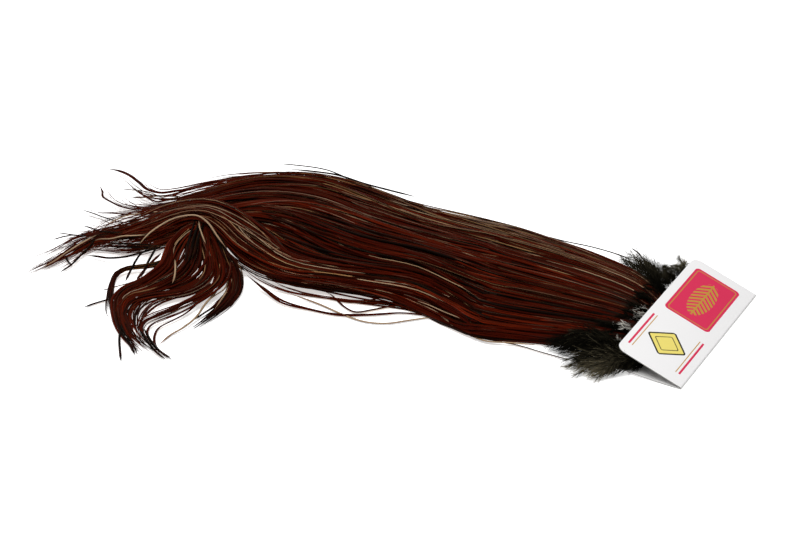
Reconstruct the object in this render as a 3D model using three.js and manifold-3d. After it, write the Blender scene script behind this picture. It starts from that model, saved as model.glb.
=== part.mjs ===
// A rooster saddle: a dried patch of rooster skin with its long saddle hackles and the down at their
// base, and the folded header card that holds the front end of the skin. It lies on a table.
//
// Millimetres, +Z up. The origin is the centre of the card's underside, which rests on the table.
// +X runs from the feather tips towards the card. The feathers are modelled as locks, each a
// tapering bundle of feathers, all grown from the one skin.
import * as THREE from "three";
import { mergeVertices } from "three/addons/utils/BufferGeometryUtils.js";
import Module from "manifold-3d";

const wasm = await Module();
wasm.setup();

// Header card, folded along its long side. Its flap springs open over the roots of the feathers.
const CARD_LENGTH = 127;
const CARD_DEPTH = 47.5;
const CARD_THICKNESS = 0.5;
const CARD_CORNER_RADIUS = 6;
const CARD_TURN = THREE.MathUtils.degToRad(61.4);
const FLAP_LIFT = THREE.MathUtils.degToRad(20);
const FOLD_RADIUS = 0.8;
const FOLD_SIDES = 10;

// Skin, in the card's own directions: "along" follows the fold and "out" points to the feathers.
const SKIN_THICKNESS = 1.6;
const SKIN_BASE = 0.9;
const SKIN_FRONT_OUT = -11;
const SKIN_BACK_OUT = 108;
const SKIN_NEAR_ALONG = -34;
const SKIN_FAR_ALONG = 46;
const SKIN_WAIST = 9;
const SKIN_CURVE_STEPS = 3;

// The feathered body, from the card to where the tips part: its edges on the table and its crown.
// In its last two rows the packed feathers thin out under the parted tips.
const BODY = [
  { near: [-36, -22], far: [-7, 66], crown: 13 },
  { near: [-80, -17], far: [-48, 85], crown: 21 },
  { near: [-131, -6], far: [-100, 119], crown: 25 },
  { near: [-168, 24], far: [-161, 152], crown: 27 },
  { near: [-208, 45], far: [-203, 176], crown: 27 },
  { near: [-241, 57], far: [-242, 193], crown: 26 },
  { near: [-279, 80], far: [-290, 174], crown: 14 },
  { near: [-309, 108], far: [-322, 150], crown: 6 },
];
const BODY_LOCKS = 16;
// The furrow between two locks of the body, as a share of the height there.
const FURROW_SHARE = 0.08;
const NEAR_EDGE_HEIGHT = 3;
const FAR_EDGE_HEIGHT = 9;
const ROOT_OUT = 3;
const ROOT_HEIGHT = 5.5;
const BASE_HEIGHT = 1.1;

// One lock of hackles beyond the body: its widths, and how far its two eaves lie below its ridge.
const LOCK_WIDTH = 6.5;
const LOCK_TIP_WIDTH = 0.8;
const LOCK_TAPER = 2.2;
const LOCK_DROP = 3.6;
const LOCK_TIP_DROP = 0.9;
// Every other lock ends before its neighbours, at this share of the full length.
const SHORT_LOCK_REACH = 0.88;

// Bundles of locks. Each leaves from inside the body and fans out over its routes, which are given
// as points of x, y and ridge height.
const BUNDLES = [
  // The far edge, whose tips curl up and back.
  {
    locks: 9,
    routes: [
      [
        [-213, 176, 10], [-251, 190, 13], [-283, 191, 13], [-309, 188, 10], [-332, 180, 9],
        [-345, 174, 8], [-357, 177, 7], [-365, 188, 6], [-380, 210, 5], [-392, 218, 5],
      ],
      [
        [-210, 165, 15], [-250, 181, 16], [-283, 180, 15], [-308, 178, 11], [-326, 168, 9],
        [-339, 161, 8], [-352, 162, 7], [-366, 179, 6], [-374, 190, 5],
      ],
      [
        [-240, 167, 18], [-281, 170, 17], [-321, 161, 11], [-343, 153, 8],
        [-361, 152, 6], [-375, 159, 5], [-386, 169, 4], [-394, 191, 4],
      ],
      [
        [-235, 150, 19], [-281, 158, 18], [-330, 151, 11], [-351, 146, 8],
        [-369, 148, 6], [-391, 150, 4], [-403, 159, 3],
      ],
      [
        [-254, 145, 19], [-281, 148, 18], [-309, 145, 15], [-334, 143, 11],
        [-355, 140, 8], [-371, 139, 6], [-381, 134, 5], [-388, 117, 3],
      ],
    ],
  },
  // The long tail.
  {
    locks: 11,
    routes: [
      [
        [-253, 138, 20], [-281, 141, 19], [-318, 138, 15], [-337, 137, 11],
        [-359, 135, 8], [-372, 136, 5], [-382, 141, 4], [-395, 150, 3],
      ],
      [
        [-258, 132, 20], [-285, 134, 19], [-318, 128, 16], [-353, 124, 11],
        [-379, 120, 6], [-391, 117, 4], [-409, 96, 3], [-436, 70, 1.5],
      ],
      [[-256, 123, 19], [-285, 131, 18], [-320, 126, 15], [-362, 117, 8], [-395, 120, 4], [-419, 126, 2]],
      [
        [-254, 115, 19], [-283, 130, 17], [-316, 126, 15], [-350, 117, 9],
        [-378, 116, 5], [-391, 112, 3], [-399, 89, 1.5], [-408, 72, 1.5],
      ],
      [
        [-252, 108, 18], [-278, 127, 16], [-310, 122, 14], [-338, 112, 9],
        [-360, 104, 6], [-382, 107, 3], [-392, 110, 2],
      ],
      [
        [-248, 99, 18], [-269, 122, 16], [-291, 129, 14], [-314, 116, 12],
        [-342, 98, 6], [-355, 91, 3], [-375, 92, 2], [-393, 98, 1.5],
      ],
    ],
  },
  // The arch, which sweeps up across the body and falls into the tail.
  {
    locks: 9,
    routes: [
      [
        [-206, 60, 15], [-231, 61, 19], [-254, 68, 21], [-269, 87, 23], [-286, 108, 26], [-302, 121, 28],
        [-318, 130, 27], [-338, 131, 21], [-362, 123, 13], [-388, 115, 6], [-410, 98, 3],
      ],
      [
        [-206, 52, 9], [-230, 54, 14], [-252, 57, 17], [-270, 68, 19], [-286, 84, 21], [-299, 104, 24],
        [-312, 118, 24], [-324, 123, 21], [-339, 121, 16], [-354, 112, 9], [-374, 107, 4],
      ],
      [
        [-206, 48, 4], [-230, 52, 8], [-250, 54, 11], [-268, 63, 13], [-284, 80, 15], [-296, 101, 17],
        [-309, 116, 18], [-321, 120, 17], [-334, 115, 12], [-350, 107, 7], [-370, 101, 3],
      ],
    ],
  },
  // Loose feathers along the near edge.
  {
    locks: 3,
    routes: [
      [
        [-145, 14, 3], [-169, 22, 2], [-192, 20, 2], [-215, 19, 2],
        [-234, 24, 2], [-255, 38, 2], [-277, 59, 4],
      ],
      [
        [-132, 3, 3], [-150, 8, 3], [-169, 15, 2], [-192, 8, 2], [-205, 12, 2],
        [-219, 21, 2], [-240, 32, 2], [-255, 43, 2],
      ],
    ],
  },
  // The hook, which comes out under the arch and curls round to the front.
  {
    locks: 7,
    routes: [
      [
        [-262, 100, 10], [-283, 107, 11], [-305, 115, 14], [-318, 112, 15], [-327, 96, 13], [-329, 72, 10],
        [-335, 50, 7], [-352, 45, 4], [-362, 37, 3], [-363, 20, 2], [-356, -2, 2],
        [-342, -21, 1.5], [-325, -32, 1.5],
      ],
      [
        [-262, 94, 10], [-281, 101, 11], [-302, 114, 14], [-314, 115, 15], [-317, 94, 13], [-317, 69, 10],
        [-322, 47, 7], [-337, 36, 4], [-352, 30, 3], [-357, 15, 2], [-351, -5, 2],
        [-337, -24, 1.5], [-320, -36, 1.5],
      ],
      [
        [-262, 88, 10], [-279, 94, 11], [-299, 110, 14], [-310, 112, 15], [-306, 90, 12], [-300, 67, 9],
        [-302, 48, 6], [-314, 33, 4], [-331, 22, 3], [-342, 13, 2], [-344, -3, 1.5], [-337, -21, 1.5],
      ],
      [
        [-262, 86, 10], [-278, 91, 11], [-297, 108, 14], [-307, 110, 15], [-302, 88, 12], [-297, 66, 9],
        [-299, 48, 6], [-309, 35, 5], [-318, 20, 3], [-327, 11, 2], [-335, 3, 2],
        [-336, -16, 1.5], [-328, -29, 1.5],
      ],
    ],
  },
  // The loop outside the hook.
  {
    locks: 3,
    routes: [
      [
        [-282, 113, 10], [-309, 117, 14], [-322, 107, 12], [-335, 89, 8], [-351, 82, 4],
        [-361, 80, 3], [-370, 76, 2], [-372, 62, 2], [-372, 39, 2], [-369, 19, 1.5], [-364, 3, 1.5],
      ],
      [
        [-281, 109, 10], [-306, 114, 14], [-320, 105, 13], [-334, 88, 10], [-346, 76, 6],
        [-354, 62, 4], [-362, 50, 3], [-368, 35, 2], [-367, 18, 1.5], [-361, 2, 1.5],
      ],
      [
        [-283, 105, 10], [-305, 115, 14], [-318, 112, 15], [-328, 96, 13], [-331, 72, 10],
        [-340, 54, 7], [-355, 48, 4], [-365, 37, 3], [-365, 20, 2], [-359, -2, 2], [-347, -20, 1.5],
      ],
    ],
  },
  // The dark tuft beside the hook.
  {
    locks: 4,
    routes: [
      [
        [-276, 88, 10], [-296, 106, 14], [-307, 107, 14], [-297, 86, 11], [-288, 68, 8],
        [-285, 52, 5], [-289, 35, 3], [-299, 16, 2], [-310, 5, 1.5],
      ],
      [
        [-276, 86, 10], [-293, 102, 13], [-302, 102, 13], [-297, 80, 10], [-292, 60, 7],
        [-292, 42, 4], [-301, 25, 3], [-316, 9, 2], [-330, -11, 1.5],
      ],
    ],
  },
];

// Tufts of down beside the card, each from its root on the skin to its tip.
const DOWN_WIDTH = 13;
const DOWN_RISE = 4;
const DOWN_STEPS = 4;
const DOWN = [
  { root: [-41, -25, 7], tip: [-89, -20, 4] },
  { root: [-40, -27, 7], tip: [-82, -38, 3] },
  { root: [-37, -30, 7], tip: [-71, -54, 3] },
  { root: [-34, -33, 7], tip: [-61, -61, 3] },
  { root: [-32, -36, 6], tip: [-50, -57, 4] },
  { root: [-14, 44, 8], tip: [-30, 76, 8] },
  { root: [-12, 46, 8], tip: [-24, 80, 8] },
  { root: [-9, 48, 8], tip: [-8, 74, 8] },
  { root: [-7, 50, 8], tip: [-1, 79, 8] },
  { root: [-4, 52, 8], tip: [10, 68, 8] },
];

// How far apart two corners may be and still count as one, and the straight steps of a round corner.
const MERGE_DISTANCE = 1e-4;
const CORNER_STEPS = 6;
const ROOF_CORNERS = 3;

const UP = new THREE.Vector3(0, 0, 1);
const CARD_COLOUR = 0xf4f2f0;
const CARD_ROUGHNESS = 0.45;
const HACKLE_COLOUR = 0x3a120b;
const HACKLE_ROUGHNESS = 0.5;

// A closed geometry as a solid that can be joined to others.
function solidOf(geometry) {
  const bare = geometry.index ? geometry.toNonIndexed() : geometry.clone();
  bare.deleteAttribute("normal");
  bare.deleteAttribute("uv");
  const merged = mergeVertices(bare, MERGE_DISTANCE);
  return new wasm.Manifold(
    new wasm.Mesh({
      numProp: 3,
      vertProperties: merged.attributes.position.array,
      triVerts: new Uint32Array(merged.index.array),
    }),
  );
}

// A joined solid as a geometry again.
function geometryOf(solid) {
  const { vertProperties, triVerts } = solid.getMesh();
  const geometry = new THREE.BufferGeometry();
  geometry.setAttribute("position", new THREE.BufferAttribute(vertProperties, 3));
  geometry.setIndex(new THREE.BufferAttribute(triVerts, 1));
  geometry.computeVertexNormals();
  return geometry;
}

// Several solids joined into one, with any pocket closed in between them filled.
function joined(solids) {
  const whole = solids.reduce((sum, next) => sum.add(next));
  return geometryOf(wasm.Manifold.compose(whole.decompose().filter((body) => body.volume() > 0)));
}

// A point given along the card's fold and out from it towards the feathers, as x, y and height.
function fromCard(along, out, height) {
  return new THREE.Vector3(along, out, height).applyAxisAngle(UP, CARD_TURN);
}

// One panel of the card: square at the fold, round at its two free corners, from y = 0 upwards.
function cardPanel() {
  const side = CARD_LENGTH / 2;
  const r = CARD_CORNER_RADIUS;
  const outline = new THREE.Shape()
    .moveTo(-side, 0)
    .lineTo(side, 0)
    .lineTo(side, CARD_DEPTH - r)
    .absarc(side - r, CARD_DEPTH - r, r, 0, Math.PI / 2, false)
    .lineTo(r - side, CARD_DEPTH)
    .absarc(r - side, CARD_DEPTH - r, r, Math.PI / 2, Math.PI, false)
    .closePath();
  return new THREE.ExtrudeGeometry(outline, {
    depth: CARD_THICKNESS,
    bevelEnabled: false,
    curveSegments: CORNER_STEPS,
  });
}

// The folded card in its own frame: the fold along X, the free edges towards +Y.
function headerCard() {
  const foldLine = -CARD_DEPTH / 2;
  const lowerPanel = cardPanel().translate(0, foldLine, 0);
  const flap = cardPanel()
    .translate(0, 0, FOLD_RADIUS - CARD_THICKNESS)
    .rotateX(FLAP_LIFT)
    .translate(0, foldLine, FOLD_RADIUS);
  const fold = new THREE.CylinderGeometry(FOLD_RADIUS, FOLD_RADIUS, CARD_LENGTH, FOLD_SIDES)
    .rotateZ(Math.PI / 2)
    .translate(0, foldLine, FOLD_RADIUS);
  return joined([lowerPanel, flap, fold].map(solidOf));
}

// The skin: a shield of dried hide, square under the card and rounded at its rear end.
function skin() {
  const [near, far] = [SKIN_NEAR_ALONG, SKIN_FAR_ALONG];
  const back = SKIN_BACK_OUT - SKIN_WAIST;
  const middle = (near + far) / 2;
  const shoulder = (SKIN_FRONT_OUT + SKIN_BACK_OUT) / 2;
  const outline = new THREE.Shape()
    .moveTo(near, SKIN_FRONT_OUT)
    .lineTo(far, SKIN_FRONT_OUT)
    .quadraticCurveTo(far + SKIN_WAIST, shoulder, far - SKIN_WAIST, back)
    .quadraticCurveTo(middle, SKIN_BACK_OUT + SKIN_WAIST, near + SKIN_WAIST, back)
    .quadraticCurveTo(near - SKIN_WAIST, shoulder, near, SKIN_FRONT_OUT);
  return new THREE.ExtrudeGeometry(outline, {
    depth: SKIN_THICKNESS,
    bevelEnabled: false,
    curveSegments: SKIN_CURVE_STEPS,
  })
    .translate(0, 0, SKIN_BASE)
    .rotateZ(CARD_TURN);
}

// The top surface along one lane (0 near edge, 1 far edge), from the root under the flap to the end.
function laneRidge(lane) {
  const edge = THREE.MathUtils.lerp(NEAR_EDGE_HEIGHT, FAR_EDGE_HEIGHT, lane);
  const dome = Math.sqrt(1 - (2 * lane - 1) ** 2);
  const root = fromCard(THREE.MathUtils.lerp(SKIN_NEAR_ALONG, SKIN_FAR_ALONG, lane), ROOT_OUT, ROOT_HEIGHT);
  const ridge = BODY.map(({ near, far, crown }) => {
    const low = Math.min(edge, crown);
    const height = low + (crown - low) * dome;
    return new THREE.Vector3(...near, height).lerp(new THREE.Vector3(...far, height), lane);
  });
  return [root, ...ridge];
}

// The body: a domed slab of feathers packed side by side, with a ridge for each lock.
function featheredBody() {
  const lanes = Array.from({ length: 2 * BODY_LOCKS + 1 }, (_, i) => i / (2 * BODY_LOCKS));
  const top = lanes.flatMap((lane, i) => {
    const height = i % 2 === 0 ? 1 - FURROW_SHARE : 1;
    return laneRidge(lane).map((p) => p.setZ(p.z * height));
  });
  const base = top.map((p) => p.clone().setZ(BASE_HEIGHT));
  const rows = top.length / lanes.length;
  const faces = [];
  const quad = (a, b, c, d) => faces.push(a, b, c, a, c, d);
  for (let i = 0; i + 1 < lanes.length; i++) {
    for (let j = 0; j + 1 < rows; j++) {
      const a = i * rows + j;
      const b = a + rows;
      quad(a, b, b + 1, a + 1);
      quad(a + 1 + top.length, b + 1 + top.length, b + top.length, a + top.length);
    }
  }
  const rim = [
    ...lanes.map((_, i) => i * rows),
    ...Array.from({ length: rows - 2 }, (_, j) => top.length - rows + j + 1),
    ...lanes.map((_, i) => top.length - 1 - i * rows),
    ...Array.from({ length: rows - 2 }, (_, j) => rows - 2 - j),
  ];
  rim.forEach((a, k) => {
    const b = rim[(k + 1) % rim.length];
    quad(b, a, a + top.length, b + top.length);
  });
  return new THREE.BufferGeometry().setFromPoints([...top, ...base]).setIndex(faces);
}

// A closed roof-shaped tube: its ridge follows the stations, and its eaves lie below on both sides.
// Each station is { ridge, side, width, eaves }.
function loft(stations) {
  const corners = stations.flatMap(({ ridge, side, width, eaves }) => [
    ridge,
    ridge.clone().addScaledVector(side, width / 2).setZ(eaves),
    ridge.clone().addScaledVector(side, -width / 2).setZ(eaves),
  ]);
  const faces = [];
  for (let i = 0; i + 1 < stations.length; i++) {
    for (let k = 0; k < ROOF_CORNERS; k++) {
      const a = i * ROOF_CORNERS + k;
      const b = i * ROOF_CORNERS + ((k + 1) % ROOF_CORNERS);
      faces.push(a, b + ROOF_CORNERS, b, a, a + ROOF_CORNERS, b + ROOF_CORNERS);
    }
  }
  const last = corners.length - ROOF_CORNERS;
  faces.push(0, 1, 2, last, last + 2, last + 1);
  return new THREE.BufferGeometry().setFromPoints(corners).setIndex(faces);
}

// The level direction across a route that runs along a tangent.
const across = (tangent) => new THREE.Vector3(-tangent.y, tangent.x, 0).normalize();

// One lock of a bundle, at a share of the way from the bundle's first route to its last.
function hackleLock(routes, share, reach) {
  const place = share * (routes.length - 1);
  const index = Math.min(Math.floor(place), routes.length - 2);
  const mix = place - index;
  const [before, after] = routes
    .slice(index, index + 2)
    .map((route) => new THREE.CatmullRomCurve3(route.map((p) => new THREE.Vector3(...p))));
  const steps = before.points.length - 1;
  const stations = Array.from({ length: steps + 1 }, (_, i) => {
    const run = i / steps;
    const along = run * reach;
    const ridge = before.getPointAt(along).lerp(after.getPointAt(along), mix);
    const tangent = before.getTangentAt(along).lerp(after.getTangentAt(along), mix);
    return {
      ridge,
      side: across(tangent),
      width: THREE.MathUtils.lerp(LOCK_WIDTH, LOCK_TIP_WIDTH, run ** LOCK_TAPER),
      eaves: Math.max(0, ridge.z - THREE.MathUtils.lerp(LOCK_DROP, LOCK_TIP_DROP, run)),
    };
  });
  return loft(stations);
}

// A tuft of down: a soft bulge that rises from its root and falls to its tip.
function downTuft({ root, tip }) {
  const start = new THREE.Vector3(...root);
  const end = new THREE.Vector3(...tip);
  const middle = start.clone().lerp(end, 0.5);
  middle.z += DOWN_RISE;
  const route = new THREE.QuadraticBezierCurve3(start, middle, end);
  const stations = Array.from({ length: DOWN_STEPS + 1 }, (_, i) => {
    const t = i / DOWN_STEPS;
    const ridge = route.getPoint(t);
    return {
      ridge,
      side: across(route.getTangent(t)),
      width: LOCK_TIP_WIDTH + DOWN_WIDTH * Math.sqrt(1 - t ** 2),
      eaves: BASE_HEIGHT,
    };
  });
  return loft(stations);
}

// The whole pelt as one piece: every lock and tuft joined to the skin that it grows from.
function pelt() {
  const locks = BUNDLES.flatMap(({ locks: count, routes }) =>
    Array.from({ length: count }, (_, i) =>
      hackleLock(routes, i / (count - 1), i % 2 === 0 ? 1 : SHORT_LOCK_REACH),
    ),
  );
  return joined([skin(), featheredBody(), ...DOWN.map(downTuft), ...locks].map(solidOf));
}

// One named piece of the saddle, in its own plain material.
function piece(name, geometry, color, roughness) {
  const mesh = new THREE.Mesh(geometry, new THREE.MeshStandardMaterial({ color, roughness, metalness: 0 }));
  mesh.name = name;
  return mesh;
}

const card = piece("header_card", headerCard(), CARD_COLOUR, CARD_ROUGHNESS);
card.rotation.z = CARD_TURN;

const saddle = new THREE.Group();
saddle.add(piece("pelt", pelt(), HACKLE_COLOUR, HACKLE_ROUGHNESS), card);

export default saddle;
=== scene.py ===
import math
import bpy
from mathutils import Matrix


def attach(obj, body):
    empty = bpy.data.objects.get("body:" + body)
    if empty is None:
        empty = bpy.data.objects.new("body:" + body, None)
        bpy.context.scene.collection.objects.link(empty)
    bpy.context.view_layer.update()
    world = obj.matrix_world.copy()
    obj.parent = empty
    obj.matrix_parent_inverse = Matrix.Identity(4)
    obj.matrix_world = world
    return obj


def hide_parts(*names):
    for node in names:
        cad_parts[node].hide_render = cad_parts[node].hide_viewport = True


bl_info = {
    "name": "Rooster Saddle",
    "version": (1, 0, 0),
    "blender": (4, 5, 0),
    "location": "View3D > Sidebar > Saddle",
    "description": "Dresses the packed rooster saddle with hackles, down, skin and a printed header card",
    "category": "Add Mesh",
}

import bmesh
import bpy
import numpy as np
from mathutils import Matrix

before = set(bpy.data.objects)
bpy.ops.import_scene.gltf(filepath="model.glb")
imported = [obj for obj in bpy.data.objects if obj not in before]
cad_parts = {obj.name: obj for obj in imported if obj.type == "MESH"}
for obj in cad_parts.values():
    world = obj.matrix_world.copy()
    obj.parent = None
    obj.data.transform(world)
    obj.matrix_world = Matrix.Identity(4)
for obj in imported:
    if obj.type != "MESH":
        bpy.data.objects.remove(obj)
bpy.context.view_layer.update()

MM = 0.001
UP = np.array([0.0, 0.0, 1.0])
SEED = 20
# A bundle's own seed is its place in the list. These are the strays' and the first clump of down's.
STRAY_SEED = 7
DOWN_SEED = 100

# The card's place in the row frame: the turn of its fold and the lift of its flap, in degrees.
CARD_TURN = 61.4
FLAP_LIFT = 20.0
# What lies inside the card keeps this far from its panels, in millimetres.
CARD_GAP = 0.7
FOLD_STEPS = 8
CORNER_SEGMENTS = 6
# The curled corner: cuts at distances from it, and how far the card beyond each cut is lifted, in metres.
CURL = ((0.030, 0.0005), (0.022, 0.0008), (0.014, 0.0012))
# Below this height, in metres, a point by the curled corner is on the lower panel.
FLAP_CLEAR = 0.004
# Distances under this, in metres, count as none.
TOUCH = 1e-6
CARD_SMOOTH_ANGLE = math.radians(30)

# The skin in the card's directions, in millimetres: along the fold, and out towards the feathers.
SKIN_ALONG = (-34, 46)
SKIN_OUT = (-11, 108)
# Where it is cut across and how far its waist reaches, as shares of its length, and how wide the waist is.
SKIN_CUTS = (0.2, 0.4, 0.6, 0.8)
WAIST_REACH = 0.15
WAIST_WIDTH = 0.82
SKIN_SMOOTH_ANGLE = math.radians(40)

# Where the hackles are rooted under the flap: along the fold, out from it and above the table.
ROOT_ALONG = (-34, 8)
ROOT_OUT = 3
ROOT_HEIGHT = 5.5
# The body's rows from the card to where the tips part, in millimetres: near edge, far edge, crown.
BODY_ROWS = (
    ((-36, -22), (-19, 57), 12),
    ((-80, -17), (-48, 82), 19),
    ((-131, -6), (-100, 113), 23),
    ((-168, 24), (-161, 146), 25),
    ((-208, 45), (-203, 176), 25),
    ((-241, 57), (-242, 193), 24),
)
EDGE_HEIGHT = (3, 6)
# The lowest that a feather's middle lies, and the lowest that anything reaches, so that it lies flat there.
LOWEST = 0.6
TABLE_GAP = 0.05

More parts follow.
